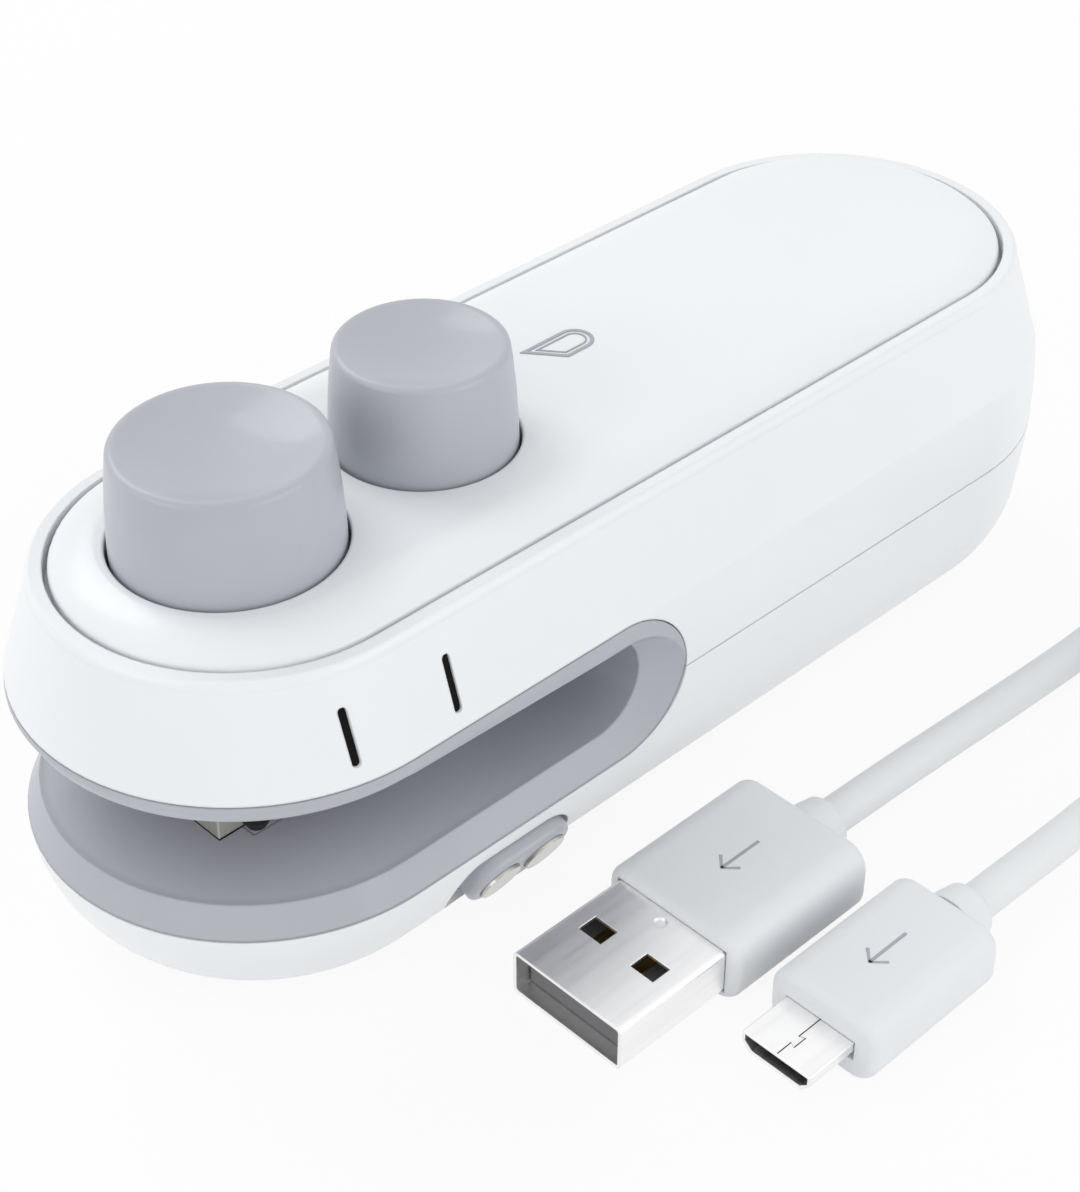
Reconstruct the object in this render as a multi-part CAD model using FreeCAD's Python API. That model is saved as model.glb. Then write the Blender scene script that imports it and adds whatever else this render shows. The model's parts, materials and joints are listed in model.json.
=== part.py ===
import FreeCAD, Part
import math
import os

# Mini bag sealer with its charging lead.
# The long axis is X, the mouth of the jaws points to -X, and Z = 0 is the flat of the keel.
# All sizes are in millimetres.

V = FreeCAD.Vector
UP = V(0, 0, 1)

# Body
body_length = 110.0
jaw_radius = 19.6
keel_radius = 19.5
bulge_radius = 20.0
bulge_rise = 1.2
keel_round = 11.4
shoulder_radius = 16.9
rim_radius = 15.5
rim_height = 34.6
shoulder_drop = 0.9
shoulder_bow_out = 1.166
shoulder_bow_drop = 0.162
jaw_edge_height = 25.1
parting_height = 17.4
wall = 1.8
seam = 0.1
tongue_depth = 2.0
tongue_rise = 1.2
tongue_inset = 0.9
tongue_root = 0.3
tongue_boss_gap = 0.3

# Throat between the jaws
lip_thickness = 1.8
throat_height = 9.6
bevel_height = 2.8
bevel_inset = 1.3
bevel_spread = 2.2
throat_rear_x = -9.5
liner_rear_x = -5.5
liner_end_step = 0.8

# Lid
lid_gap = 0.4
lid_proud = 0.4
lid_thickness = 2.1
lid_edge_round = 0.7
lid_crown = 1.35
lid_crown_width = 3.5
lid_pocket_edge = 0.5
lid_pocket_front = 4.0
ledge_width = 1.7
ledge_thickness = 1.5
dish_margin = 1.4
dish_depth = 0.2
hole_edge_round = 0.2

# Buttons, each with its radii at the lid and at the rim, and its height above the lid's edge
seal_x = -36.75
seal_base_radius = 9.25
seal_top_radius = 8.6
seal_rise = 10.15
seal_rim_round = 0.6
seal_dish_depth = 1.5
seal_stroke = 4.35
cutter_base_radius = 7.8
cutter_top_radius = 7.2
cutter_rise = 10.05
cutter_rim_round = 0.55
cutter_dish_depth = 1.2
cutter_stroke = 4.8
button_spacing = 3.25
button_gap = 0.25
button_side_bulge = 0.12
dish_edge_inset = 0.25
dish_edge_drop = 0.05
button_wall = 1.5
flange_width = 1.25
flange_thickness = 1.0
flange_clearance = 0.3

# Guide frame and stems
frame_thickness = 1.6
frame_inset = 3.6
frame_rear_gap = 1.5
running_fit = 0.08
seal_stem_radius = 4.0
cutter_stem_radius = 1.7
sleeve_wall = 1.3
sleeve_top_gap = 0.5
boss_root = 0.3
socket_wall = 1.2
socket_depth = 2.4
socket_fit = 0.05

# Springs
spring_wire = 0.7
spring_turns = 4
spring_clearance = 0.35
spring_end_gap = 0.05

# Press head and what it presses on
head_length = 21.5
head_width = 20.6
head_height = 6.3
head_clearance = 0.3
head_corner_round = 0.12
heater_thickness = 0.3
ribbon_proud = 0.1
ribbon_end_gap = 0.6
press_gap = 0.1
ribbon_width = 10.2
ribbon_thickness = 0.25
ribbon_rise = 4.0
pad_margin = 0.4
pad_thickness = 1.4
pad_width = 15.0
pad_fit = 0.1
film_post_radius = 1.4
film_post_drop = 3.35
film_post_tip = 0.55
film_post_taper = 0.8
film_post_fit = 0.05
film_post_x = -45.3
film_post_gap = 0.6

# Cutter
blade_thickness = 0.5
blade_width = 8.0
blade_point = 1.8
holder_length = 3.4
holder_width = 9.0
holder_height = 3.2
holder_drop = 0.5
holder_roof = 0.8
nozzle_corner = 1.0
anvil_slot_share = 0.7
guide_clearance = 0.4
guard_wall = 1.3
guard_drop = 3.7
tip_cover = 0.2
anvil_height = 2.3
anvil_length = 5.0
anvil_width = 12.0
anvil_slot = 1.4

# Marker slots in the side of the upper jaw
marker_middle_x = -35.3
marker_spacing = 9.7
slot_width = 0.75
slot_low = 26.45
slot_high = 31.3
shield_thickness = 0.3
shield_gap = 0.25
shield_margin = 1.6
shield_ledge_gap = 0.1
rib_fit = 0.05
rib_recess = 0.2

# Contacts under the seal button
contact_board_thickness = 0.3
contact_pad_thickness = 0.1
contact_ring_thickness = 0.1
contact_ring_width = 1.0
contact_board_width = 2.6
contact_inset = 0.6
contact_split = 1.5
contact_reach = 0.9

# Battery, board and socket in the rear
cell_radius = 7.1
cell_length = 49.0
cell_front_x = -3.0
cell_fit = 0.2
cell_floor_gap = 1.0
cell_tip_radius = 2.4
cell_tip_length = 0.8
cradle_length = 38.0
cradle_half_width = 7.4
cradle_height = 5.2
cradle_notch = 12.0
cradle_floor = 2.2
board_length = 46.0
board_rear_x = 52.4
board_half_width = 12.0
board_thickness = 1.6
board_base = 20.4
board_edge_gap = 0.8
post_radius = 2.0
post_front_x = 10.0
post_rear_x = 38.0
post_y = 9.5
screw_radius = 0.9
screw_bore_gap = 0.2
screw_head_radius = 1.7
screw_head_height = 1.1
chip_block = (21.5, 0, 7.0, 6.0, 1.5)
inductor_block = (31.5, -5.0, 5.0, 5.0, 2.6)
inductor_corner = 0.8
capacitor_x = 31.5
capacitor_rows = (2.6, 7.4)
capacitor_height = 4.2
capacitor_radius = 1.9
socket_width = 7.6
socket_length = 5.4
socket_height = 2.7
socket_sheet = 0.3
socket_corner = 0.8
socket_mouth_x = 54.3
socket_window_gap = 0.5
socket_back = 1.0
socket_tongue_setback = 0.8
socket_tongue_edge = 1.6
socket_tongue_level = 0.52
socket_tongue_thickness = 0.5
lamp_y = 7.6
lamp_radius = 1.1
lamp_wall_gap = 0.08
lamp_board_gap = 0.1
lamp_length = 9.0
lead_diameter = 1.3
lead_y = 12.2
lead_height = 28.4
lead_end_x = -21.0
lead_bend = 2.2
lead_board_x = 8.6
lead_board_y = 6.0
lead_knee_drop = 2.0
lead_turn_x = -1.5
terminal_length = 3.0
terminal_width = 2.0
terminal_rise = 0.9

# Shell screws from below
jaw_screw_x = -44.0
shell_boss_radius = 3.0
shell_screw_radius = 1.2
shell_head_radius = 2.3
shell_head_height = 1.6
shell_head_depth = 1.0
side_screw_x = 3.0
side_screw_y = 14.6
side_screw_sink = 3.4
side_screw_reach = 6.0
side_bore_height = 8.0
screw_head_gap = 0.2
screw_fit = 0.05
jaw_screw_gap = 0.5

# Magnet pad on the near flank of the lower jaw
flank_tilt = 26.0
magnet_pad_x = -23.9
magnet_pad_length = 11.0
magnet_pad_width = 5.8
magnet_pad_rise = 0.8
magnet_pad_sink = 1.2
magnet_pad_round = 0.6
magnet_pocket_extra = 2.2
magnet_pocket_gap = 0.35
magnet_radius = 2.0
magnet_height = 1.4
magnet_rise = 0.3
magnet_spacing = 5.0
magnet_fit = 0.05

# Charging lead: a plug for the charger and a small plug for the sealer
cord_diameter = 3.5
usb_front = V(-31.0, -31.5, 3.5)
usb_shell_width = 12.0
usb_shell_height = 4.5
usb_shell_length = 12.0
usb_sheet = 0.3
usb_shell_corner = 0.5
usb_window_length = 2.0
usb_window_width = 2.5
usb_window_x = 6.5
usb_window_y = 2.9
usb_dimple_x = 10.7
usb_dimple_radius = 0.55
usb_tongue_thickness = 1.9
usb_tongue_length = 10.5
usb_tongue_side_gap = 0.1
usb_back_front = 1.5
usb_back_rear = 1.0
usb_contact_width = 1.0
usb_contact_rise = 0.15
usb_contact_end = 8.2
usb_contact_rows = ((-3.5, 7.4), (-1.0, 6.4), (1.0, 6.4), (3.5, 7.4))
plug_fit = 0.05
usb_body_width = 14.6
usb_body_height = 7.0
usb_body_length = 16.5
usb_body_round = 2.4
micro_front = V(-23.0, -46.5, 3.2)
micro_shell_width = 6.9
micro_shell_height = 1.85
micro_shell_length = 5.2
micro_shell_taper = 0.75
micro_sheet = 0.25
micro_shell_hold = 3.5
micro_tongue_thickness = 0.5
micro_tongue_edge = 0.9
micro_tongue_setback = 0.8
micro_tongue_root = 2.0
micro_body_width = 10.8
micro_body_height = 6.4
micro_body_length = 16.0
micro_body_round = 2.2
plug_overlap = 4.0
plug_bore_gap = 0.1
plug_edge_round = 0.9
collar_root_radius = 2.9
collar_end_radius = 2.5
collar_length = 3.2
collar_chamfer = 0.4

# Put-away coil of the lead
coil_centre = V(56.5, -52.7, 0)
coil_outer_radius = 21.2
coil_step = 4.0
coil_lift = 0.6
coil_floor_turns = 1.5
coil_climb_turns = 0.5
coil_upper_turns = 1.69
coil_climb_dip = 0.9
coil_run_out = 5.5
tie_wall = 0.4
tie_corner = 0.35
tie_gap = 0.2
tie_width = 6.0

# Values that follow from the sizes above
half_run = body_length / 2 - jaw_radius
lid_height = rim_height + lid_proud
lid_seat = lid_height - lid_thickness
lid_top = lid_height + lid_crown
cutter_x = seal_x + seal_base_radius + cutter_base_radius + button_spacing
ledge_low = lid_seat - ledge_thickness
ledge_radius = rim_radius - ledge_width
lip_height = jaw_edge_height - lip_thickness
floor_height = lip_height - throat_height
keel_edge_height = floor_height - bevel_height
bevel_radius = keel_radius - bevel_inset
flange_top = lid_seat - flange_clearance
flange_low = flange_top - flange_thickness
frame_low = jaw_edge_height
frame_top = frame_low + frame_thickness
head_low = floor_height + press_gap + seal_stroke
head_top = head_low + head_height
far = 200.0


def box(x0, x1, y0, y1, z0, z1):
    """A block between two corners."""
    return Part.makeBox(x1 - x0, y1 - y0, z1 - z0, V(x0, y0, z0))


def cylinder(x, y, z0, z1, radius):
    """A round bar along Z."""
    return Part.makeCylinder(radius, z1 - z0, V(x, y, z0))


def arc_and_line_face(place, start, *steps):
    """A face round a closed outline; a step is an end point, or a mid point and an end point of an arc."""
    edges = []
    here = place(*start)
    for step in list(steps) + [(start,)]:
        end = place(*step[-1])
        if here.distanceToPoint(end) < 1e-7:
            continue
        if len(step) == 2:
            edges.append(Part.Arc(here, place(*step[0]), end).toShape())
        else:
            edges.append(Part.LineSegment(here, end).toShape())
        here = end
    return Part.Face(Part.Wire(edges))


def on_side(radius, height):
    """A point of an outline that is turned or drawn along the near side."""
    return V(0, -radius, height)


def line_to(radius, height):
    return ((radius, height),)


def stadium_solid(start, *steps):
    """A half outline carried round a stadium: two half turns joined by two straight sides."""
    face = arc_and_line_face(on_side, start, *steps)
    half_turn = face.revolve(V(0, 0, 0), UP, 180)
    rear = half_turn.translated(V(half_run, 0, 0))
    front = half_turn.copy()
    front.rotate(V(0, 0, 0), UP, 180)
    front.translate(V(-half_run, 0, 0))
    near = face.translated(V(-half_run, 0, 0)).extrude(V(2 * half_run, 0, 0))
    other = near.mirror(V(0, 0, 0), V(0, 1, 0))
    return rear.fuse([front, near, other]).removeSplitter()


def stadium_plate(radius, low, high):
    """A flat plate with a stadium outline."""
    return stadium_solid((0, low), line_to(radius, low), line_to(radius, high), line_to(0, high))


def turned(x, start, *steps):
    """A half outline turned about the vertical axis at x."""
    solid = arc_and_line_face(on_side, start, *steps).revolve(V(0, 0, 0), UP, 360)
    return solid.translated(V(x, 0, 0))


def on_round(centre, radius, degrees):
    """A point on a circle of the outline, by its angle from the radius axis."""
    angle = math.radians(degrees)
    return (centre[0] + radius * math.cos(angle), centre[1] + radius * math.sin(angle))


def ball_mid(edge, edge_height, low):
    """The middle of the arc from an edge down to the axis, as part of a ball about the axis."""
    rise = edge_height - low
    ball = (edge * edge + rise * rise) / (2 * rise)
    half = math.asin(edge / ball) / 2
    return (ball * math.sin(half), low + ball * (1 - math.cos(half)))


def envelope(inset, low, high):
    """The outer form of the body, or the hollow inside it, between two heights."""
    keel = (keel_radius - keel_round, keel_round)
    round_radius = keel_round - inset
    shoulder_height = rim_height - shoulder_drop
    form = stadium_solid(
        (0, inset),
        line_to(keel[0], inset),
        (on_round(keel, round_radius, -45), (keel_radius - inset, keel_round)),
        ((bulge_radius - inset, parting_height + bulge_rise), (jaw_radius - inset, jaw_edge_height)),
        line_to(shoulder_radius - inset, shoulder_height),
        (
            (rim_radius + shoulder_bow_out - inset, rim_height - shoulder_bow_drop),
            (rim_radius - inset, rim_height),
        ),
        line_to(0, rim_height),
    )
    return form.common(box(-far, far, -far, far, low, high))


def slot_prism(low, high, rear_x):
    """A block that runs in from the front and ends in a half round, across the whole width."""
    radius = (high - low) / 2
    centre = rear_x - radius
    level = (high + low) / 2
    face = arc_and_line_face(
        lambda x, z: V(x, -far, z),
        (-far, low),
        ((centre, low),),
        ((rear_x, level), (centre, high)),
        ((-far, high),),
    )
    return face.extrude(V(0, 2 * far, 0))


def throat_bevel(side):
    """The bevel round the rear end and the floor of the throat on one side, as the part cut away."""
    floor_drop = bevel_spread * bevel_height / bevel_inset
    rear_step = (liner_rear_x - liner_end_step) - throat_rear_x
    rear_out = throat_rear_x + bevel_spread * rear_step / (jaw_radius - bevel_radius)
    wires = []
    for y, low, rear in (
        (bevel_radius, floor_height, throat_rear_x),
        (bevel_radius + bevel_spread, floor_height - floor_drop, rear_out),
    ):
        radius = (lip_height - low) / 2
        level = (lip_height + low) / 2
        corners = [
            V(-half_run, side * y, low),
            V(rear - radius, side * y, low),
            V(rear, side * y, level),
            V(rear - radius, side * y, lip_height),
            V(-half_run, side * y, lip_height),
        ]
        wires.append(
            Part.Wire(
                [
                    Part.LineSegment(corners[0], corners[1]).toShape(),
                    Part.Arc(corners[1], corners[2], corners[3]).toShape(),
                    Part.LineSegment(corners[3], corners[4]).toShape(),
                    Part.LineSegment(corners[4], corners[0]).toShape(),
                ]
            )
        )
    return Part.makeLoft(wires, True, True)


def nose_bevel():
    """The same bevel round the nose of the lower jaw, as the ring cut away."""
    floor_drop = bevel_spread * bevel_height / bevel_inset
    face = arc_and_line_face(
        on_side,
        (bevel_radius, floor_height),
        line_to(bevel_radius + bevel_spread, floor_height - floor_drop),
        line_to(bevel_radius + bevel_spread, lip_height),
        line_to(bevel_radius, lip_height),
    )
    ring = face.revolve(V(0, 0, 0), UP, -180)
    return ring.translated(V(-half_run, 0, 0))


def flank_point(x, along_slope, outward):
    """A point on the tilted flank of the lower jaw: along its slope, and out from it."""
    tilt = math.radians(flank_tilt)
    out_y = -math.cos(tilt)
    out_z = -math.sin(tilt)
    base_y = -(keel_radius - keel_round + keel_round * math.cos(tilt))
    base_z = keel_round - keel_round * math.sin(tilt)
    return V(
        x,
        base_y + outward * out_y - along_slope * math.sin(tilt),
        base_z + outward * out_z + along_slope * math.cos(tilt),
    )


def flank_direction():
    return flank_point(0, 0, 1).sub(flank_point(0, 0, 0))


def flank_pill(x_front, x_rear, width, inward, outward):
    """A pill-shaped block square to the flank."""
    radius = width / 2
    face = arc_and_line_face(
        lambda x, s: flank_point(x, s, -inward),
        (x_front + radius, -radius),
        ((x_rear - radius, -radius),),
        ((x_rear, 0), (x_rear - radius, radius)),
        ((x_front + radius, radius),),
        ((x_front, 0), (x_front + radius, -radius)),
    )
    return face.extrude(flank_direction().multiply(inward + outward))


def board_post_places():
    return [(x, y) for x in (post_front_x, post_rear_x) for y in (-post_y, post_y)]


def rear_of(shape, x):
    """The part of a shape behind x."""
    return shape.common(box(x, far, -far, far, -far, far))


# Casing

def upper_shell():
    shell = envelope(0, parting_height + seam / 2, rim_height)
    hollow = envelope(wall, parting_height - 1, ledge_low)
    shell = shell.cut(hollow)
    shell = shell.cut(stadium_plate(rim_radius, lid_seat, far))
    shell = shell.cut(stadium_plate(ledge_radius, ledge_low - 1, lid_seat + 1))
    shell = shell.cut(slot_prism(keel_edge_height, jaw_edge_height, liner_rear_x))
    bosses = [
        cylinder(x, y, parting_height + seam / 2, ledge_low, shell_boss_radius)
        for x, y in side_screw_places()
    ]
    outline = envelope(wall / 2, parting_height + seam / 2, ledge_low + 0.5)
    shell = shell.fuse([boss.common(outline) for boss in bosses]).removeSplitter()
    for x, y in side_screw_places():
        shell = shell.cut(cylinder(x, y, 0, parting_height + side_bore_height, shell_screw_radius))
    for marker_x in marker_places():
        shell = shell.cut(marker_slot(marker_x, 0))
    return shell.cut(rear_openings())


def marker_places():
    return [marker_middle_x - marker_spacing / 2, marker_middle_x + marker_spacing / 2]


def marker_slot(x, inset):
    """One narrow round-ended slot through the near wall, or the rib that fills it."""
    radius = slot_width / 2 - inset
    low = slot_low + slot_width / 2
    high = slot_high - slot_width / 2
    face = arc_and_line_face(
        lambda u, z: V(x + u, -far, z),
        (-radius, low),
        ((0, low - radius), (radius, low)),
        ((radius, high),),
        ((0, high + radius), (-radius, high)),
    )
    return face.extrude(V(0, far, 0))


def rear_openings():
    """The window of the charging socket and the hole of the charge lamp, at the rear end."""
    level = board_base + board_thickness + socket_height / 2
    half_height = socket_height / 2 + socket_window_gap
    half_width = socket_width / 2 + socket_window_gap
    face = arc_and_line_face(
        lambda y, z: V(half_run + keel_round, y, z),
        (-half_width + half_height, level - half_height),
        ((half_width - half_height, level - half_height),),
        ((half_width, level), (half_width - half_height, level + half_height)),
        ((-half_width + half_height, level + half_height),),
        ((-half_width, level), (-half_width + half_height, level - half_height)),
    )
    window = face.extrude(V(far, 0, 0))
    lamp = Part.makeCylinder(
        lamp_radius + lamp_wall_gap, far, V(half_run + 5, lamp_y, lamp_level()), V(1, 0, 0)
    )
    return window.fuse(lamp)


def lamp_level():
    return board_base + board_thickness + lamp_radius + lamp_board_gap


def lower_shell():
    shell = envelope(0, 0, parting_height - seam / 2)
    shell = shell.cut(envelope(wall, wall, parting_height + 1))
    tongue_low = parting_height - tongue_depth
    tongue_top = parting_height + tongue_rise
    inner = envelope(wall + tongue_inset, tongue_low - 1, tongue_top + 1)
    tongue = envelope(wall + seam, tongue_low, tongue_top).cut(inner)
    root = envelope(wall - tongue_root, tongue_low, tongue_low + tongue_depth / 2).cut(inner)
    tongue = rear_of(tongue.fuse(root), side_screw_x + shell_boss_radius + tongue_boss_gap)
    shell = shell.fuse(tongue)
    inside = envelope(wall / 2, 0, keel_edge_height)
    inside_rear = envelope(wall / 2, 0, parting_height - seam / 2)
    bosses = [cylinder(jaw_screw_x, 0, 0, keel_edge_height, shell_boss_radius).common(inside)]
    for x, y in side_screw_places():
        boss = cylinder(x, y, 0, parting_height - seam / 2, shell_boss_radius)
        bosses.append(boss.common(inside_rear))
    for x, y in board_post_places():
        bosses.append(cylinder(x, y, wall / 2, board_base, post_radius))
    shell = shell.fuse(bosses)
    shell = shell.cut(slot_prism(keel_edge_height, jaw_edge_height, liner_rear_x))
    backing = flank_pill(
        magnet_pad_x - magnet_pad_length / 2 - magnet_pocket_extra - wall,
        magnet_pad_x + magnet_pad_length / 2 + wall,
        magnet_pad_width + 2 * wall,
        magnet_pad_sink + wall,
        0.0,
    ).common(envelope(wall / 2, 0, keel_edge_height))
    shell = shell.fuse(backing)
    shell = shell.cut(
        flank_pill(
            magnet_pad_x - magnet_pad_length / 2 - magnet_pocket_extra,
            magnet_pad_x + magnet_pad_length / 2 + magnet_pocket_gap,
            magnet_pad_width + 2 * magnet_pocket_gap,
            magnet_pad_sink,
            wall * 3,
        )
    )
    for x, y in shell_screw_places():
        shell = shell.cut(cylinder(x, y, -1, far, shell_screw_radius))
        shell = shell.cut(cylinder(x, y, -1, screw_seat(y), shell_head_radius + screw_head_gap))
    return shell.removeSplitter()


def side_screw_places():
    return [(side_screw_x, -side_screw_y), (side_screw_x, side_screw_y)]


def shell_screw_places():
    return [(jaw_screw_x, 0)] + side_screw_places()


def screw_seat(y):
    """How high the seat of a shell screw's head lies: deeper where the keel curves up."""
    return shell_head_depth + shell_head_height + (side_screw_sink if y else 0)


def throat_liner():
    """The one-piece gray lining of the throat: lip, rear wall, floor and their bevel."""
    low = keel_edge_height + seam
    high = jaw_edge_height - seam
    liner = envelope(0, low, high).common(slot_prism(low, high, liner_rear_x - seam))
    liner = liner.cut(slot_prism(floor_height, lip_height, throat_rear_x))
    liner = liner.cut(nose_bevel().fuse([throat_bevel(-1), throat_bevel(1)]))
    liner = liner.cut(head_window(lip_height - 1, jaw_edge_height + 1))
    liner = liner.cut(holder_window(lip_height - 1, jaw_edge_height + 1))
    liner = liner.cut(pad_block(pad_fit, floor_height - pad_thickness, floor_height + 1))
    for x, y in film_post_places():
        bore = film_post_radius + film_post_fit
        liner = liner.cut(cylinder(x, y, lip_height - 1, jaw_edge_height + 1, bore))
    return liner.removeSplitter()


def head_window(low, high):
    length = head_length / 2 + head_clearance
    width = head_width / 2 + head_clearance
    return box(seal_x - length, seal_x + length, -width, width, low, high)


def holder_window(low, high):
    length = holder_length / 2 + guide_clearance
    width = holder_width / 2 + guide_clearance
    return box(cutter_x - length, cutter_x + length, -width, width, low, high)


def pad_block(grow, low, high):
    length = ribbon_width / 2 + pad_margin + grow
    width = pad_width / 2 + grow
    return box(seal_x - length, seal_x + length, -width, width, low, high)


def film_post_places():
    y = head_width / 2 + film_post_gap + film_post_radius
    return [(film_post_x, -y), (film_post_x, y)]


def film_posts():
    """Two dark posts beside the head keep the film off its hot corner."""
    posts = []
    for x, y in film_post_places():
        low = lip_height - film_post_drop
        post = turned(
            x,
            (0, low),
            line_to(film_post_radius * film_post_tip, low),
            line_to(film_post_radius, low + film_post_radius * film_post_taper),
            line_to(film_post_radius, jaw_edge_height - seam),
            line_to(0, jaw_edge_height - seam),
        )
        posts.append(post.translated(V(0, y, 0)))
    return Part.makeCompound(posts)


def top_cover():
    """The crowned lid, with a hole and a shallow dish for each button."""
    radius = rim_radius - lid_gap
    corner = (radius - lid_edge_round, lid_height - lid_edge_round)
    rise = lid_top - corner[1]
    square = lid_crown_width ** 2 + rise ** 2 - lid_edge_round ** 2
    crown_radius = square / (2 * (rise - lid_edge_round))
    crown = (corner[0] - lid_crown_width, lid_top - crown_radius)
    meet = math.degrees(math.atan2(corner[1] - crown[1], lid_crown_width))
    lid = stadium_solid(
        (0, lid_seat),
        line_to(radius, lid_seat),
        line_to(radius, corner[1]),
        (on_round(corner, lid_edge_round, meet / 2), on_round(corner, lid_edge_round, meet)),
        (on_round(crown, crown_radius, (meet + 90) / 2), (crown[0], lid_top)),
        line_to(0, lid_top),
    )
    pocket = stadium_plate(ledge_radius - lid_pocket_edge, lid_seat - 1, lid_seat + lid_crown)
    lid = lid.cut(rear_of(pocket, cutter_x + cutter_base_radius + lid_pocket_front))
    holes = []
    for x, base_radius in ((seal_x, seal_base_radius), (cutter_x, cutter_base_radius)):
        hole = base_radius + button_gap
        holes.append(hole)
        reach = hole + dish_margin
        ball = (reach * reach + dish_depth * dish_depth) / (2 * dish_depth)
        lid = lid.cut(Part.makeSphere(ball, V(x, 0, lid_top + ball - dish_depth)))
        lid = lid.cut(cylinder(x, 0, lid_seat - 1, lid_top + 1, hole))
    rims = [edge for edge in lid.Edges if any(is_hole_rim(edge, hole) for hole in holes)]
    return lid.makeFillet(hole_edge_round, rims)


def is_hole_rim(edge, radius):
    """Whether an edge is the upper rim of a button hole of this radius."""
    bounds = edge.BoundBox
    level = bounds.ZLength < 0.01 and bounds.ZMin > lid_seat + lid_thickness / 2
    return level and abs(bounds.YLength - 2 * radius) < 0.01


# Buttons and what they carry

def button(x, base_radius, top_radius, rise, rim_round, dish, stem_radius):
    """A hollow cap with a retaining flange below the lid, a dished top and a socket for its stem."""
    rim = lid_height + rise
    centre = (top_radius - rim_round, rim - rim_round)
    taper = 2 * math.degrees(math.atan((base_radius - top_radius) / rise))
    dish_edge = (centre[0] - dish_edge_inset, rim - dish_edge_drop)
    side_end = on_round(centre, rim_round, taper)
    side_middle = ((base_radius + side_end[0]) / 2 + button_side_bulge, (lid_top + side_end[1]) / 2)
    inner = base_radius - button_wall
    ceiling = rim - dish - button_wall
    cap = turned(
        x,
        (0, flange_low),
        line_to(base_radius + flange_width, flange_low),
        line_to(base_radius + flange_width, flange_top),
        line_to(base_radius, flange_top),
        line_to(base_radius, lid_top),
        (side_middle, side_end),
        (on_round(centre, rim_round, 50), (centre[0], rim)),
        line_to(*dish_edge),
        (ball_mid(*dish_edge, rim - dish), (0, rim - dish)),
    )
    cap = cap.cut(cylinder(x, 0, flange_low - 1, ceiling, inner))
    boss = cylinder(x, 0, ceiling - socket_depth, ceiling + boss_root, stem_radius + socket_wall)
    cap = cap.fuse(boss).removeSplitter()
    return cap.cut(cylinder(x, 0, flange_low - 1, ceiling, stem_radius + socket_fit))


def button_ceiling(rise, dish):
    return lid_height + rise - dish - button_wall


def seal_button():
    return button(
        seal_x, seal_base_radius, seal_top_radius, seal_rise, seal_rim_round, seal_dish_depth,
        seal_stem_radius,
    )


def cutter_button():
    return button(
        cutter_x, cutter_base_radius, cutter_top_radius, cutter_rise, cutter_rim_round,
        cutter_dish_depth, cutter_stem_radius,
    )


def seal_stem():
    return cylinder(seal_x, 0, head_top, button_ceiling(seal_rise, seal_dish_depth), seal_stem_radius)


def cutter_stem():
    low = frame_low - holder_drop
    return cylinder(cutter_x, 0, low, button_ceiling(cutter_rise, cutter_dish_depth), cutter_stem_radius)


def press_head():
    """The metal block that carries the heating ribbon."""
    length = head_length / 2
    width = head_width / 2
    block = box(
        seal_x - length, seal_x + length, -width, width, head_low + heater_thickness, head_top
    )
    edges = [e for e in block.Edges if e.BoundBox.ZLength > head_height / 2]
    return block.makeFillet(head_corner_round, edges)


def heater_plate():
    """The dark plate under the head, with the ribbon's band standing a little lower."""
    length = head_length / 2
    width = head_width / 2
    low = head_low + ribbon_proud
    plate = box(seal_x - length, seal_x + length, -width, width, low, head_low + heater_thickness)
    edges = [e for e in plate.Edges if e.BoundBox.ZLength > heater_thickness / 3]
    plate = plate.makeFillet(head_corner_round, edges)
    half = ribbon_width / 2
    end = width - ribbon_end_gap
    return plate.fuse(box(seal_x - half, seal_x + half, -end, end, head_low, low + ribbon_proud))


def ribbon_clamps():
    """The ribbon's two ends, folded up the sides of the head."""
    half = ribbon_width / 2
    width = head_width / 2
    low = head_low + heater_thickness
    return Part.makeCompound(
        [
            box(seal_x - half, seal_x + half, side[0], side[1], low, low + ribbon_rise)
            for side in ((-width - ribbon_thickness, -width), (width, width + ribbon_thickness))
        ]
    )


def sealing_pad():
    return pad_block(0, floor_height - pad_thickness, floor_height)


def contact_board():
    """A thin ring of board on the frame, under the seal button's flange."""
    outer = seal_base_radius + flange_width
    inner = outer - contact_board_width
    low = frame_top
    ring = cylinder(seal_x, 0, low, low + contact_board_thickness, outer)
    ring = ring.cut(cylinder(seal_x, 0, low - 1, low + 1, inner))
    return ring.cut(box(seal_x - far, seal_x, -far, far, low - 1, low + 1))


def contact_pads():
    """Two gilt pads on the ring of board."""
    outer = seal_base_radius + flange_width - contact_inset
    low = frame_top + contact_board_thickness
    pads = []
    for side in (-1, 1):
        ring = cylinder(seal_x, 0, low, low + contact_pad_thickness, outer)
        ring = ring.cut(cylinder(seal_x, 0, low - 1, low + 1, outer - contact_ring_width))
        y0, y1 = sorted((side * contact_split, side * outer * contact_reach))
        pads.append(ring.common(box(seal_x + 1, seal_x + far, y0, y1, low - 1, low + 1)))
    return Part.makeCompound(pads)


def contact_ring():
    """The metal ring under the flange, which bridges the pads at full stroke."""
    outer = seal_base_radius + flange_width - contact_inset
    ring = cylinder(seal_x, 0, flange_low - contact_ring_thickness, flange_low, outer)
    return ring.cut(cylinder(seal_x, 0, flange_low - 1, flange_low + 1, outer - contact_ring_width))


def blade_holder():
    low = frame_low - holder_drop - holder_height
    length = holder_length / 2
    width = holder_width / 2
    block = box(cutter_x - length, cutter_x + length, -width, width, low, frame_low - holder_drop)
    return block.cut(blade_blank(low - 1, low + holder_height - holder_roof, socket_fit))


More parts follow.
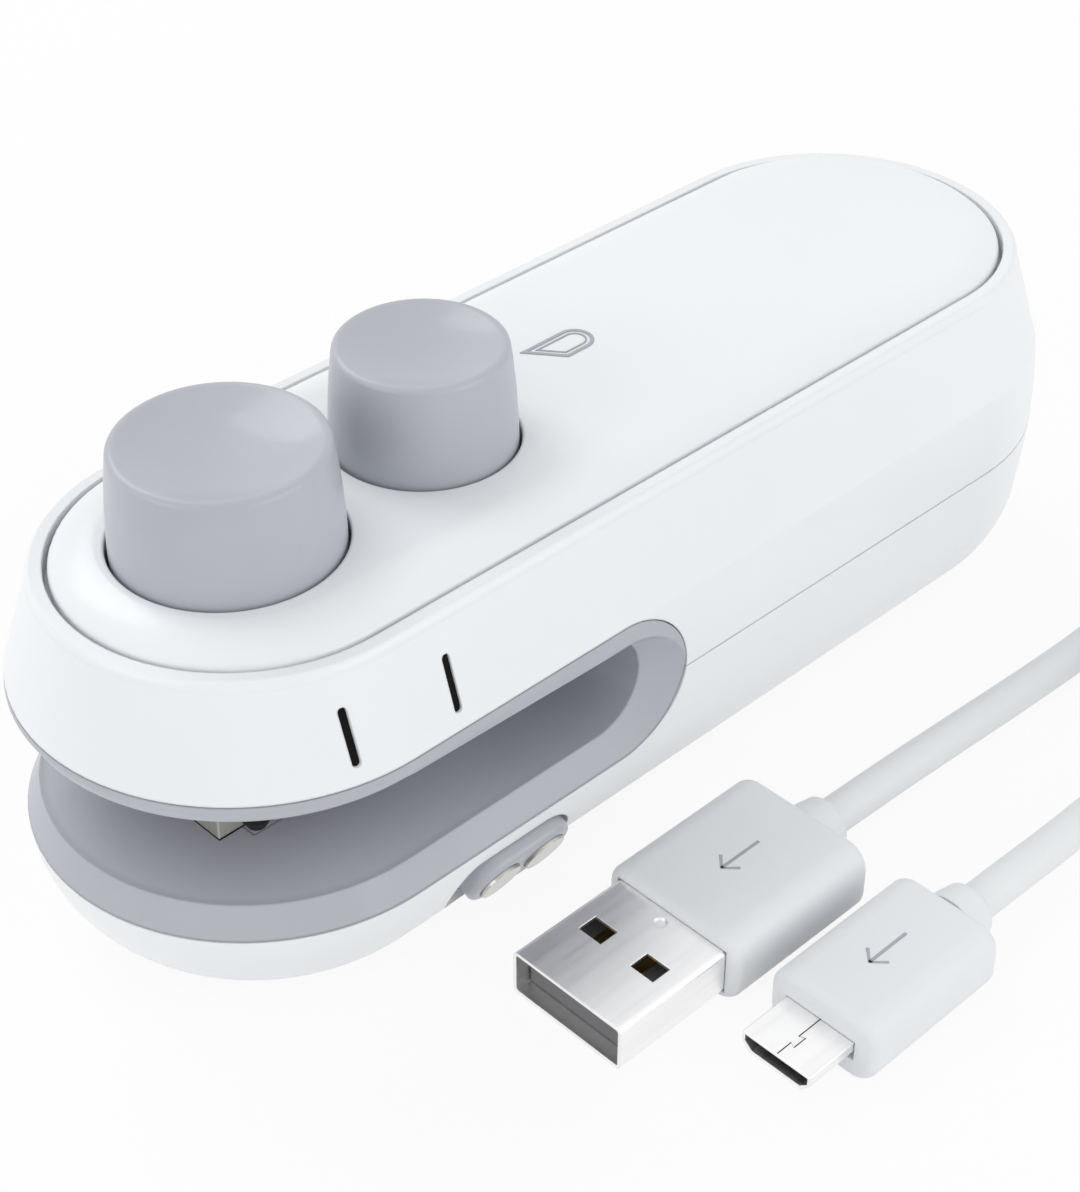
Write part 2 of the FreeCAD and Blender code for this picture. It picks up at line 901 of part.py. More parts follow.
def blade_blank(low, high, grow):
    thick = blade_thickness / 2 + grow
    width = blade_width / 2 + grow
    return box(cutter_x - thick, cutter_x + thick, -width, width, low, high)


def blade_tip_height():
    return lip_height - guard_drop + tip_cover


def cutter_blade():
    """A thin blade with a V point, held in the holder's slot."""
    tip = blade_tip_height()
    top = frame_low - holder_drop - holder_roof
    width = blade_width / 2
    face = arc_and_line_face(
        lambda y, z: V(cutter_x - blade_thickness / 2, y, z),
        (0, tip),
        ((width, tip + blade_point),),
        ((width, top),),
        ((-width, top),),
        ((-width, tip + blade_point),),
    )
    return face.extrude(V(blade_thickness, 0, 0))


def blade_guard():
    """The gray nozzle under the upper jaw that hides the blade."""
    length = holder_length / 2 + guide_clearance + guard_wall
    width = holder_width / 2 + guide_clearance + guard_wall
    guard = box(cutter_x - length, cutter_x + length, -width, width, lip_height - guard_drop, lip_height)
    edges = [e for e in guard.Edges if e.BoundBox.ZLength > guard_drop / 2]
    guard = guard.makeFillet(nozzle_corner, edges)
    guard = guard.common(slot_prism(floor_height, lip_height, throat_rear_x))
    return guard.cut(holder_window(lip_height - guard_drop - 1, lip_height + 1))


def cutting_anvil():
    """The rib on the throat's floor with the slot that takes the blade's point."""
    half = anvil_length / 2
    width = anvil_width / 2
    top = floor_height + anvil_height
    anvil = box(cutter_x - half, cutter_x + half, -width, width, floor_height, top)
    edges = [e for e in anvil.Edges if e.BoundBox.ZLength > anvil_height / 2]
    anvil = anvil.makeFillet(nozzle_corner, edges)
    anvil = anvil.common(slot_prism(floor_height, lip_height, throat_rear_x))
    slot = anvil_slot / 2
    slot_floor = top - anvil_height * anvil_slot_share
    return anvil.cut(box(cutter_x - slot, cutter_x + slot, -width - 1, width + 1, slot_floor, top + 1))


def sleeve_top(rise, dish, stroke):
    return button_ceiling(rise, dish) - socket_depth - stroke - sleeve_top_gap


def guide_frame():
    """The inner frame on the upper jaw's floor, with a sleeve for each stem."""
    plate = stadium_plate(jaw_radius - frame_inset, frame_low, frame_top)
    plate = plate.common(box(-far, liner_rear_x - frame_rear_gap, -far, far, frame_low, frame_top))
    sleeves = (
        (seal_x, seal_stem_radius, sleeve_top(seal_rise, seal_dish_depth, seal_stroke)),
        (cutter_x, cutter_stem_radius, sleeve_top(cutter_rise, cutter_dish_depth, cutter_stroke)),
    )
    for x, stem, top in sleeves:
        plate = plate.fuse(cylinder(x, 0, frame_low, top, stem + running_fit + sleeve_wall))
    for x, stem, top in sleeves:
        plate = plate.cut(cylinder(x, 0, frame_low - 1, top + 1, stem + running_fit))
    return plate.removeSplitter()


def biarc(start, start_way, end, end_way):
    """Two tangent arcs from one point and direction to another."""
    gap = end.sub(start)
    both = start_way.add(end_way)
    turn = 2 * (1 - start_way.dot(end_way))
    along = gap.dot(both)
    reach = (-along + math.sqrt(along * along + turn * gap.dot(gap))) / turn
    first = start.add(V(start_way).multiply(reach))
    last = end.sub(V(end_way).multiply(reach))
    middle = first.add(last).multiply(0.5)
    return [tangent_arc(start, first, middle), tangent_arc(middle, last, end)]


def tangent_arc(start, corner, end):
    """The arc that touches the lines from a corner to two points at the same distance."""
    chord = start.add(end).multiply(0.5)
    half = start.distanceToPoint(end) / 2
    rise = corner.sub(chord)
    sagitta = half * math.tan(math.atan2(rise.Length, half) / 2)
    rise.normalize()
    return Part.Arc(start, chord.add(rise.multiply(sagitta)), end).toShape()


def swept(edges, diameter):
    """A round tube along tangent edges."""
    path = Part.Wire(edges)
    first = edges[0]
    start = first.valueAt(first.FirstParameter)
    way = first.tangentAt(first.FirstParameter)
    ring = Part.Wire(Part.makeCircle(diameter / 2, start, way))
    return path.makePipeShell([ring], True, False)


def spring(x, low, high, inner_radius):
    """A compression spring; its thin wire has six flats in place of a round."""
    radius = inner_radius + spring_wire / 2
    height = high - low - spring_wire
    level = low + spring_wire / 2
    helix = Part.makeHelix(height / spring_turns, height, radius)
    helix.translate(V(x, 0, level))
    corners = [on_round((x + radius, level), spring_wire / 2, 60 * k) for k in range(7)]
    section = Part.makePolygon([V(across, 0, up) for across, up in corners])
    return Part.Wire(helix.Edges).makePipeShell([section], True, True)


def seal_spring():
    radius = seal_stem_radius + running_fit + sleeve_wall + spring_clearance
    high = button_ceiling(seal_rise, seal_dish_depth)
    return spring(seal_x, frame_top + spring_end_gap, high - spring_end_gap, radius)


def cutter_spring():
    radius = cutter_stem_radius + running_fit + sleeve_wall + spring_clearance
    high = button_ceiling(cutter_rise, cutter_dish_depth)
    return spring(cutter_x, frame_top + spring_end_gap, high - spring_end_gap, radius)


def heat_shield():
    """A thin dark sheet inside the jaw wall, with a rib that fills each marker slot."""
    low = slot_low - shield_margin / 2
    high = ledge_low - shield_ledge_gap
    inset = wall + shield_gap
    sheet = envelope(inset, low, high).cut(envelope(inset + shield_thickness, low - 1, high + 1))
    half = marker_spacing / 2 + shield_margin
    near = box(marker_middle_x - half, marker_middle_x + half, -far, -5, 0, far)
    band = envelope(rib_recess, low, high).cut(envelope(inset + shield_thickness / 2, low - 1, high + 1))
    ribs = [band.common(marker_slot(x, rib_fit)) for x in marker_places()]
    return sheet.common(near).fuse(ribs).removeSplitter()


# Battery, board and charging socket

def cell_level():
    return wall + cell_floor_gap + cell_radius


def battery_cell():
    body = Part.makeCylinder(
        cell_radius, cell_length, V(cell_front_x, 0, cell_level()), V(1, 0, 0)
    )
    tip_start = V(cell_front_x - cell_tip_length, 0, cell_level())
    tip = Part.makeCylinder(cell_tip_radius, cell_tip_length, tip_start, V(1, 0, 0))
    return body.fuse(tip)


def battery_cradle():
    middle = cell_front_x + cell_length / 2
    half = cradle_length / 2
    width = cradle_half_width
    block = box(middle - half, middle + half, -width, width, wall, wall + cradle_height)
    block = block.cut(
        Part.makeCylinder(cell_radius + cell_fit, far, V(-far / 2, 0, cell_level()), V(1, 0, 0))
    )
    notch = cradle_notch / 2
    for x in (middle - half / 2, middle + half / 2):
        block = block.cut(box(x - notch, x + notch, -far, far, wall + cradle_floor, far))
    return block.common(envelope(wall, wall, parting_height))


def circuit_board():
    low = board_base
    high = board_base + board_thickness
    board = box(
        board_rear_x - board_length, board_rear_x, -board_half_width, board_half_width, low, high
    )
    board = board.common(stadium_plate(keel_radius - wall - board_edge_gap, low, high))
    for x, y in board_post_places():
        board = board.cut(cylinder(x, y, low - 1, high + 1, screw_radius + screw_bore_gap))
    return board


def board_screws():
    screws = []
    high = board_base + board_thickness
    for x, y in board_post_places():
        head = cylinder(x, y, high, high + screw_head_height, screw_head_radius)
        screws.append(head.fuse(cylinder(x, y, board_base, high + screw_head_height / 2, screw_radius)))
    return Part.makeCompound(screws)


def board_parts():
    """The charging chip, a coil and two capacitors on the board."""
    low = board_base + board_thickness
    blocks = []
    for x, y, length, width, height in (chip_block, inductor_block):
        blocks.append(
            box(x - length / 2, x + length / 2, y - width / 2, y + width / 2, low, low + height)
        )
    edges = [e for e in blocks[1].Edges if e.BoundBox.ZLength > inductor_corner]
    blocks[1] = blocks[1].makeFillet(inductor_corner, edges)
    for y in capacitor_rows:
        blocks.append(cylinder(capacitor_x, y, low, low + capacitor_height, capacitor_radius))
    return Part.makeCompound(blocks)


def micro_usb_socket():
    """The metal shell of the charging socket, open to the rear, with its tongue."""
    low = board_base + board_thickness
    half = socket_width / 2
    back = socket_mouth_x - socket_length
    block = box(back, socket_mouth_x, -half, half, low, low + socket_height)
    block = block.makeFillet(socket_corner, [e for e in block.Edges if e.BoundBox.XLength > 1])
    inner = half - socket_sheet
    roof = low + socket_height - socket_sheet
    hollow = box(back + socket_back, socket_mouth_x + 1, -inner, inner, low + socket_sheet, roof)
    edges = [e for e in hollow.Edges if e.BoundBox.XLength > 1]
    hollow = hollow.makeFillet(socket_corner - socket_sheet, edges)
    width = half - socket_tongue_edge
    level = low + socket_height * socket_tongue_level
    front = socket_mouth_x - socket_tongue_setback
    tongue = box(back + socket_back / 2, front, -width, width, level, level + socket_tongue_thickness)
    return block.cut(hollow).fuse(tongue)


def charge_lamp():
    """A clear rod from the board's lamp to the rear wall."""
    start = V(body_length / 2 - lamp_length, lamp_y, lamp_level())
    rod = Part.makeCylinder(lamp_radius, lamp_length, start, V(1, 0, 0))
    return rod.common(envelope(lamp_wall_gap, 0, rim_height))


def bent_run(points, bend, diameter):
    """A round wire along straight runs joined by arcs of one size."""
    edges = []
    here = points[0]
    for index in range(1, len(points) - 1):
        corner = points[index]
        into = corner.sub(points[index - 1]).normalize()
        out = points[index + 1].sub(corner).normalize()
        before = corner.sub(V(into).multiply(bend))
        after = corner.add(V(out).multiply(bend))
        edges.append(Part.LineSegment(here, before).toShape())
        edges.append(tangent_arc(before, corner, after))
        here = after
    edges.append(Part.LineSegment(here, points[-1]).toShape())
    return swept(edges, diameter)


def heater_leads():
    """Two leads from the board to the terminals on the frame."""
    board_top = board_base + board_thickness
    wires = []
    for side in (-1, 1):
        y = side * lead_y
        points = [
            V(lead_board_x, side * lead_board_y, board_top),
            V(lead_board_x, side * lead_board_y, lead_height - lead_knee_drop),
            V(lead_turn_x, y, lead_height),
            V(lead_end_x, y, lead_height),
        ]
        wires.append(bent_run(points, lead_bend, lead_diameter))
    return Part.makeCompound(wires)


def heater_terminals():
    """Two crimp terminals that take the leads down onto the frame."""
    terminals = []
    half = terminal_width / 2
    front = lead_end_x - terminal_length
    for y in (-lead_y, lead_y):
        top = lead_height + terminal_rise
        terminals.append(box(front, lead_end_x, y - half, y + half, frame_top, top))
    return Part.makeCompound(terminals)


def shell_screws():
    """Three screws from below: one in the lower jaw and two beside the throat's end."""
    screws = []
    for x, y in shell_screw_places():
        seat = screw_seat(y)
        top = parting_height + side_screw_reach if y else keel_edge_height - jaw_screw_gap
        head = cylinder(x, y, seat - shell_head_height, seat, shell_head_radius)
        shank = cylinder(x, y, seat - shell_head_height / 2, top, shell_screw_radius - screw_fit)
        screws.append(head.fuse(shank))
    return Part.makeCompound(screws)


# Magnet pad

def magnet_pad():
    pad = flank_pill(
        magnet_pad_x - magnet_pad_length / 2,
        magnet_pad_x + magnet_pad_length / 2,
        magnet_pad_width,
        magnet_pad_sink,
        magnet_pad_rise,
    )
    out = flank_direction()
    face_level = flank_point(0, 0, magnet_pad_rise).dot(out)
    edges = [
        edge
        for edge in pad.Edges
        if all(abs(v.Point.dot(out) - face_level) < 1e-4 for v in edge.Vertexes)
    ]
    pad = pad.makeFillet(magnet_pad_round, edges)
    for magnet in magnet_places():
        pad = pad.cut(magnet_disc(magnet, magnet_radius + magnet_fit, magnet_height))
    return pad


def magnet_places():
    return [magnet_pad_x - magnet_spacing / 2, magnet_pad_x + magnet_spacing / 2]


def magnet_disc(x, radius, rise):
    base = flank_point(x, 0, magnet_pad_rise + magnet_rise - magnet_height)
    return Part.makeCylinder(radius, magnet_height - magnet_rise + rise, base, flank_direction())


def pad_magnets():
    discs = []
    for x in magnet_places():
        discs.append(magnet_disc(x, magnet_radius, magnet_rise))
    return Part.makeCompound(discs)


# Charging lead

def rounded_bar(front, length, width, height, corner):
    """A bar along X with rounded long edges, from its front's centre."""
    bar = box(
        front.x, front.x + length,
        front.y - width / 2, front.y + width / 2,
        front.z - height / 2, front.z + height / 2,
    )
    edges = [e for e in bar.Edges if e.BoundBox.XLength > length / 2]
    return bar.makeFillet(corner, edges)


def usb_plug_shell():
    shell = rounded_bar(
        usb_front, usb_shell_length + plug_overlap, usb_shell_width, usb_shell_height, usb_shell_corner
    )
    bore = rounded_bar(
        usb_front.sub(V(1, 0, 0)),
        usb_shell_length + plug_overlap,
        usb_shell_width - 2 * usb_sheet,
        usb_shell_height - 2 * usb_sheet,
        usb_shell_corner / 2,
    )
    shell = shell.cut(bore)
    x = usb_front.x + usb_window_x
    for y in (usb_front.y - usb_window_y, usb_front.y + usb_window_y):
        shell = shell.cut(
            box(
                x - usb_window_length / 2, x + usb_window_length / 2,
                y - usb_window_width / 2, y + usb_window_width / 2,
                usb_front.z + 1, usb_front.z + usb_shell_height,
            )
        )
    top = usb_front.z + usb_shell_height / 2
    dimple = cylinder(
        usb_front.x + usb_dimple_x, usb_front.y, top - usb_sheet / 2, top + 1, usb_dimple_radius
    )
    return shell.cut(dimple)


def usb_tongue_low():
    return usb_front.z - usb_shell_height / 2 + usb_sheet + plug_fit


def usb_plug_tongue():
    """The white tongue in the lower half of the plug's mouth, with the block behind it."""
    half = usb_shell_width / 2 - usb_sheet - usb_tongue_side_gap
    low = usb_tongue_low()
    front = usb_front.x + usb_shell_length - usb_tongue_length
    tongue = box(
        front, usb_front.x + usb_shell_length,
        usb_front.y - half, usb_front.y + half,
        low, low + usb_tongue_thickness,
    )
    back = box(
        usb_front.x + usb_shell_length - usb_back_front,
        usb_front.x + usb_shell_length + usb_back_rear,
        usb_front.y - half, usb_front.y + half,
        low, usb_front.z + usb_shell_height / 2 - usb_sheet - plug_fit,
    )
    return tongue.fuse(back).removeSplitter()


def usb_contacts():
    """Four gilt contacts on the tongue."""
    low = usb_tongue_low() + usb_tongue_thickness
    end = usb_front.x + usb_shell_length - usb_tongue_length + usb_contact_end
    half = usb_contact_width / 2
    strips = []
    for place, length in usb_contact_rows:
        y = usb_front.y + place
        strips.append(box(end - length, end, y - half, y + half, low, low + usb_contact_rise))
    return Part.makeCompound(strips)


def plug_body(front, shell_length, width, height, length, corner, bore_width, bore_height):
    """The soft moulding round a plug, with its bore for the metal shell."""
    place = front.add(V(shell_length, 0, 0))
    body = rounded_bar(place, length, width, height, corner)
    ends = [e for e in body.Edges if e.BoundBox.XLength < 1e-3]
    body = body.makeFillet(plug_edge_round, ends)
    bore = box(
        place.x - 1, place.x + plug_overlap,
        place.y - bore_width / 2, place.y + bore_width / 2,
        place.z - bore_height / 2, place.z + bore_height / 2,
    )
    return body.cut(bore)


def usb_plug_body():
    return plug_body(
        usb_front, usb_shell_length, usb_body_width, usb_body_height, usb_body_length,
        usb_body_round, usb_shell_width + plug_bore_gap, usb_shell_height + plug_bore_gap,
    )


def micro_plug_body():
    return plug_body(
        micro_front, micro_shell_length, micro_body_width, micro_body_height, micro_body_length,
        micro_body_round, micro_shell_width + plug_bore_gap, micro_shell_height + plug_bore_gap,
    )


def collar(start):
    """The short tapered strain relief behind a plug body."""
    outline = arc_and_line_face(
        lambda x, r: V(start.x + x, start.y, start.z + r),
        (0, 0),
        ((0, collar_root_radius),),
        ((collar_length - collar_chamfer, collar_end_radius),),
        ((collar_length, collar_end_radius - collar_chamfer),),
        ((collar_length, 0),),
    )
    return outline.revolve(start, V(1, 0, 0), 360)


def collar_start(front, shell_length, length):
    return front.add(V(shell_length + length, 0, 0))


def usb_collar():
    return collar(collar_start(usb_front, usb_shell_length, usb_body_length))


def micro_collar():
    return collar(collar_start(micro_front, micro_shell_length, micro_body_length))


def micro_outline(grow, x):
    """The six-sided mouth of the small plug, wide above and narrow below."""
    half = micro_shell_width / 2 + grow
    height = micro_shell_height / 2 + grow
    slant = micro_shell_taper
    y = micro_front.y
    z = micro_front.z
    return Part.Face(
        Part.makePolygon(
            [
                V(x, y - half, z + height),
                V(x, y + half, z + height),
                V(x, y + half, z),
                V(x, y + half - slant, z - height),
                V(x, y - half + slant, z - height),
                V(x, y - half, z),
                V(x, y - half, z + height),
            ]
        )
    )


def micro_plug_shell():
    length = micro_shell_length + micro_shell_hold
    outer = micro_outline(0, micro_front.x).extrude(V(length, 0, 0))
    inner = micro_outline(-micro_sheet, micro_front.x - 1).extrude(V(length, 0, 0))
    return outer.cut(inner)


def micro_plug_tongue():
    half = micro_shell_width / 2 - micro_sheet - micro_tongue_edge
    top = micro_front.z + micro_shell_height / 2 - micro_sheet - plug_fit
    return box(
        micro_front.x + micro_tongue_setback,
        micro_front.x + micro_shell_length + micro_tongue_root,
        micro_front.y - half, micro_front.y + half,
        top - micro_tongue_thickness, top,
    )


def coil_point(turn):
    """The coil's centreline by its turn: in along the floor, up in half a turn, and out again above."""
    low = cord_diameter / 2 + coil_lift
    rise = cord_diameter + coil_lift
    inner = coil_outer_radius - coil_step * coil_floor_turns
    climb_end = coil_floor_turns + coil_climb_turns
    if turn <= coil_floor_turns:
        radius = coil_outer_radius - coil_step * turn
        height = low
    elif turn <= climb_end:
        share = (turn - coil_floor_turns) / coil_climb_turns
        radius = inner - coil_climb_dip * math.sin(math.pi * share) ** 2
        height = low + rise * (1 - math.cos(math.pi * share)) / 2
    else:
        radius = inner + coil_step * (turn - climb_end)
        height = low + rise
    angle = math.pi / 2 - 2 * math.pi * turn
    return coil_centre.add(V(radius * math.cos(angle), radius * math.sin(angle), height))


def coil_way(turn):
    """The direction of the coil's centreline, level at its two ends."""
    small = 0.004
    ahead = coil_point(turn + small)
    behind = coil_point(turn - small)
    way = ahead.sub(behind)
    return way.normalize()


coil_turns = coil_floor_turns + coil_climb_turns + coil_upper_turns
coil_steps = [0, 0.5, 1, 1.5, 1.75, 2, 2.5, 3, 3.5, coil_turns]


def coil_ends():
    """The straight ends of the coil, one cord diameter long and level."""
    first = coil_point(0)
    last = coil_point(coil_turns)
    onward = coil_way(coil_turns).multiply(cord_diameter)
    return first.sub(V(cord_diameter, 0, 0)), last.add(onward)


def coil_edges():
    """The coil's centreline as two arcs to each step, between its straight ends."""
    start, end = coil_ends()
    points = [coil_point(turn) for turn in coil_steps]
    ways = [V(1, 0, 0)] + [coil_way(turn) for turn in coil_steps[1:]]
    edges = [Part.LineSegment(start, points[0]).toShape()]
    for step in range(len(points) - 1):
        edges += biarc(points[step], ways[step], points[step + 1], ways[step + 1])
    edges.append(Part.LineSegment(points[-1], end).toShape())
    return edges


def cable_coil():
    edges = coil_edges()
    tube = swept(edges, cord_diameter)
    samples = []
    travelled = 0
    for edge in edges:
        count = max(2, int(edge.Length / 2))
        for point in edge.discretize(count)[:-1]:
            samples.append((travelled, point))
            travelled += edge.Length / (count - 1)
    gap = min(
        a[1].distanceToPoint(b[1]) - cord_diameter
        for i, a in enumerate(samples)
        for b in samples[i + 1:]
        if b[0] - a[0] > 4 * cord_diameter
    )
    print("coil: least gap to itself", round(gap, 2), "length", round(Part.Wire(edges).Length, 1))
    return tube


def strands_at_tie():
    """How far out the coil's strands pass the tie, on the side away from the lead's ends."""
    passes = []
    for edge in coil_edges():
        points = edge.discretize(60)
        for here, there in zip(points, points[1:]):
            crosses = (here.y - coil_centre.y) * (there.y - coil_centre.y) <= 0
            if crosses and here.x > coil_centre.x:
                passes.append(here.x)
    return min(passes), max(passes)


def coil_tie():
    """The band that holds the coil's strands together, at the coil's far side."""
    inner, outer = strands_at_tie()
    reach = cord_diameter / 2 + tie_gap
    bow = (tie_width / 2) ** 2 / (2 * (inner - coil_centre.x))
    x0 = inner - reach - bow
    x1 = outer + reach
    low = tie_wall
    high = 2 * (coil_lift + cord_diameter) + tie_gap
    y0 = coil_centre.y - tie_width / 2
    y1 = coil_centre.y + tie_width / 2
    band = box(x0 - tie_wall, x1 + tie_wall, y0, y1, low - tie_wall, high + tie_wall)
    edges = [e for e in band.Edges if e.BoundBox.YLength > tie_width / 2]
    return band.makeFillet(tie_corner, edges).cut(box(x0, x1, y0 - 1, y1 + 1, low, high))


def cord_tube(name, points):
    """A tube along straight runs, with a tangent arc at each corner as large as its runs allow."""
    edges = []
    here = points[0]
    radii = []
    for index in range(1, len(points) - 1):
        corner = points[index]
        into = corner.sub(points[index - 1])
        out = points[index + 1].sub(corner)
        into_share = 0.9 if index == 1 else 0.45
        out_share = 0.9 if index == len(points) - 2 else 0.45
        reach = min(into_share * into.Length, out_share * out.Length)
        half_turn = into.getAngle(out) / 2
        radii.append(reach / math.tan(half_turn))
        before = corner.sub(V(into).normalize().multiply(reach))
        after = corner.add(V(out).normalize().multiply(reach))
        edges.append(Part.LineSegment(here, before).toShape())
        edges.append(tangent_arc(before, corner, after))
        here = after
    edges.append(Part.LineSegment(here, points[-1]).toShape())
    tube = swept(edges, cord_diameter)
    length = sum(edge.Length for edge in edges)
    expected = length * math.pi * (cord_diameter / 2) ** 2
    print(name, "length", round(length, 1), "radii", [round(r, 1) for r in radii])
    print(name, "volume / section x length", round(tube.Volume / expected, 4))
    return tube


def usb_route():
    """From the large plug's collar straight along the floor to the coil."""
    end = coil_ends()[0]
    return [
        usb_front.add(V(usb_shell_length + usb_body_length + collar_length, 0, 0)),
        V(8.0, usb_front.y, usb_front.z),
        V(18.5, -31.6, 2.0),
        V(29.0, -31.7, 1.78),
        V(39.0, -31.6, 1.85),
        V(47.0, end.y, end.z),
        end,
    ]


def micro_route():
    """From the coil down to the floor and along it to the small plug's collar."""
    end = coil_ends()[1]
    return [
        end,
        end.add(coil_way(coil_turns).multiply(coil_run_out)),
        V(23.4, -46.6, 3.2),
        V(13.0, -46.6, 1.9),
        V(6.8, micro_front.y, micro_front.z),
        micro_front.add(V(micro_shell_length + micro_body_length + collar_length, 0, 0)),
    ]


def cable_to_usb():
    return cord_tube("cable_to_usb", usb_route())


def cable_to_micro():
    return cord_tube("cable_to_micro", micro_route())


parts = {
    "upper_shell": upper_shell,
    "lower_shell": lower_shell,
    "throat_liner": throat_liner,
    "top_cover": top_cover,
    "seal_button": seal_button,
    "seal_stem": seal_stem,
    "seal_spring": seal_spring,
    "press_head": press_head,
    "heater_plate": heater_plate,
    "ribbon_clamps": ribbon_clamps,
    "contact_ring": contact_ring,
    "cutter_button": cutter_button,
    "cutter_stem": cutter_stem,
    "cutter_spring": cutter_spring,
    "blade_holder": blade_holder,
    "cutter_blade": cutter_blade,
    "blade_guard": blade_guard,
    "cutting_anvil": cutting_anvil,
    "sealing_pad": sealing_pad,
    "film_posts": film_posts,
    "guide_frame": guide_frame,
    "contact_board": contact_board,
    "contact_pads": contact_pads,
    "heat_shield": heat_shield,
    "battery_cell": battery_cell,
    "battery_cradle": battery_cradle,
    "circuit_board": circuit_board,
    "board_screws": board_screws,
    "board_parts": board_parts,
    "micro_usb_socket": micro_usb_socket,
    "charge_lamp": charge_lamp,
    "heater_leads": heater_leads,
    "heater_terminals": heater_terminals,
    "shell_screws": shell_screws,
    "magnet_pad": magnet_pad,
    "pad_magnets": pad_magnets,
    "usb_plug_shell": usb_plug_shell,
    "usb_plug_tongue": usb_plug_tongue,
    "usb_contacts": usb_contacts,
    "usb_plug_body": usb_plug_body,
    "usb_collar": usb_collar,
    "micro_plug_shell": micro_plug_shell,
    "micro_plug_tongue": micro_plug_tongue,
    "micro_plug_body": micro_plug_body,
    "micro_collar": micro_collar,
    "cable_to_usb": cable_to_usb,
    "cable_coil": cable_coil,
    "coil_tie": coil_tie,
    "cable_to_micro": cable_to_micro,
}

os.makedirs("parts", exist_ok=True)
for name, make in parts.items():
    shape = make()
    solids = len(shape.Solids)
    print(name, "solids", solids, "volume", round(shape.Volume, 1), "valid", shape.isValid())
    shape.exportStep("parts/" + name + ".step")
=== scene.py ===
# %% [markdown]
# # A mini bag sealer and its charging lead
# This notebook dresses a imported CAD model of a palm-sized bag sealer. The CAD model is a fixed frame: its
# rigid pieces stay where they are and get finishes here. Its soft lead is drawn again as one curve, its springs
# are copied onto their buttons, and the lip of its lining leans in. Everything is in metres, with +X to the
# rounded rear, +Z up and the floor at zero.

# %% Load the frame
import json
import math

import bpy
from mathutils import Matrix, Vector


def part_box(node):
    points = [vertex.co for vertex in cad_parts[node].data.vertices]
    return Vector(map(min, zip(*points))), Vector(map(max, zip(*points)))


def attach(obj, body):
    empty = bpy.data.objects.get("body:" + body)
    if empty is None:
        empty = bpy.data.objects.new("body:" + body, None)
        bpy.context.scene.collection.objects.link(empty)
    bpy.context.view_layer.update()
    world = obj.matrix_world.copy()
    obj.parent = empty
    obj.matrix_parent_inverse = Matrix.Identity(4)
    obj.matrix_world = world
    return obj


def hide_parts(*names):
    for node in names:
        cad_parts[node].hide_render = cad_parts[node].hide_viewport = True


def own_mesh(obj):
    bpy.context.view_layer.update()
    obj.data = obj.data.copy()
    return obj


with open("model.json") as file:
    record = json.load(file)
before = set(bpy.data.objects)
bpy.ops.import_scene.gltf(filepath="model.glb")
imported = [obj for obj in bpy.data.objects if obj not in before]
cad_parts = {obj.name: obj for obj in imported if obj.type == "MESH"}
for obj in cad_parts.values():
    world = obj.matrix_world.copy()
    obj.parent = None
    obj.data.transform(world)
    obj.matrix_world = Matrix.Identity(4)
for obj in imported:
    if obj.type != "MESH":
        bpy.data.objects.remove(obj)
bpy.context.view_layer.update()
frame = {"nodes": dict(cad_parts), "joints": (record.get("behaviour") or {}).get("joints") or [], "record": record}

nodes = frame["nodes"]
MM = 0.001


def mm(x, y, z):
    """A point given in millimetres, as Blender's metres."""
    return Vector((x * MM, y * MM, z * MM))


def put_in_scene(name, data):
    """A new object that shows this mesh, curve, lamp or camera."""
    obj = bpy.data.objects.new(name, data)
    bpy.context.scene.collection.objects.link(obj)
    return obj


# %% [markdown]
# ## The camera
# The camera comes first, because everything else is judged through it. It stands ahead of the sealer's nose,
# to its near side, and looks down at it from about 37 degrees. A longer lens from farther away would flatten
# the pill, so the distance matters as much as the angle: both were fitted to the outlines of the lid and the
# buttons.

# %% Camera
FRAME_HEIGHT_PX = 1192
FOCAL_PX = 2456.3
SENSOR_MM = 36.0
NEAREST_SEEN_M = 0.01
FARTHEST_SEEN_M = 20.0
eye_point = mm(-126.11, -126.41, 147.51)
look_point = mm(-3.25, 0.0, 12.65)
look_way = look_point - eye_point

camera_data = bpy.data.cameras.new("studio_camera")
camera_data.sensor_width = SENSOR_MM
camera_data.lens = SENSOR_MM * FOCAL_PX / FRAME_HEIGHT_PX
camera_data.clip_start = NEAREST_SEEN_M
camera_data.clip_end = FARTHEST_SEEN_M
camera = put_in_scene("studio_camera", camera_data)
camera.location = eye_point
camera.rotation_euler = look_way.to_track_quat("-Z", "Y").to_euler()
bpy.context.scene.camera = camera
print("camera", round(look_way.length, 3), "m away, lens", round(camera_data.lens, 1), "mm")

# %% [markdown]
# ## The charging lead's route
# The lead is one length of soft white cable with a plug at each end. A real cable has no corners, so its line
# is a NURBS curve: a few control points pull it into long smooth bends. It could also be a physics
# simulation, but a cable that lies flat on a table needs only a good line. Most of its half metre doesn't
# show. That length is wound into a small coil beside the sealer, tied, with its turns in two layers.

# %% The lead from the large plug to the coil and on to the small plug
CORD_DIAMETER = 3.5
USB_COLLAR_END = (0.7, -31.5, 3.5)
MICRO_COLLAR_END = (1.4, -46.5, 3.2)
COIL_CENTRE = (56.5, -52.7)
COIL_OUTER_RADIUS = 21.2
COIL_STEP = 4.0
COIL_LIFT = 0.6
FLOOR_TURNS = 1.5
CLIMB_TURNS = 0.5
UPPER_TURNS = 1.69
CLIMB_DIP = 0.9
RUN_OUT = 5.5
POINTS_PER_TURN = 16
coil_turns = FLOOR_TURNS + CLIMB_TURNS + UPPER_TURNS


def coil_angle(turn):
    """The way out from the coil's middle. It starts at the far side and goes clockwise."""
    return math.pi / 2 - 2 * math.pi * turn


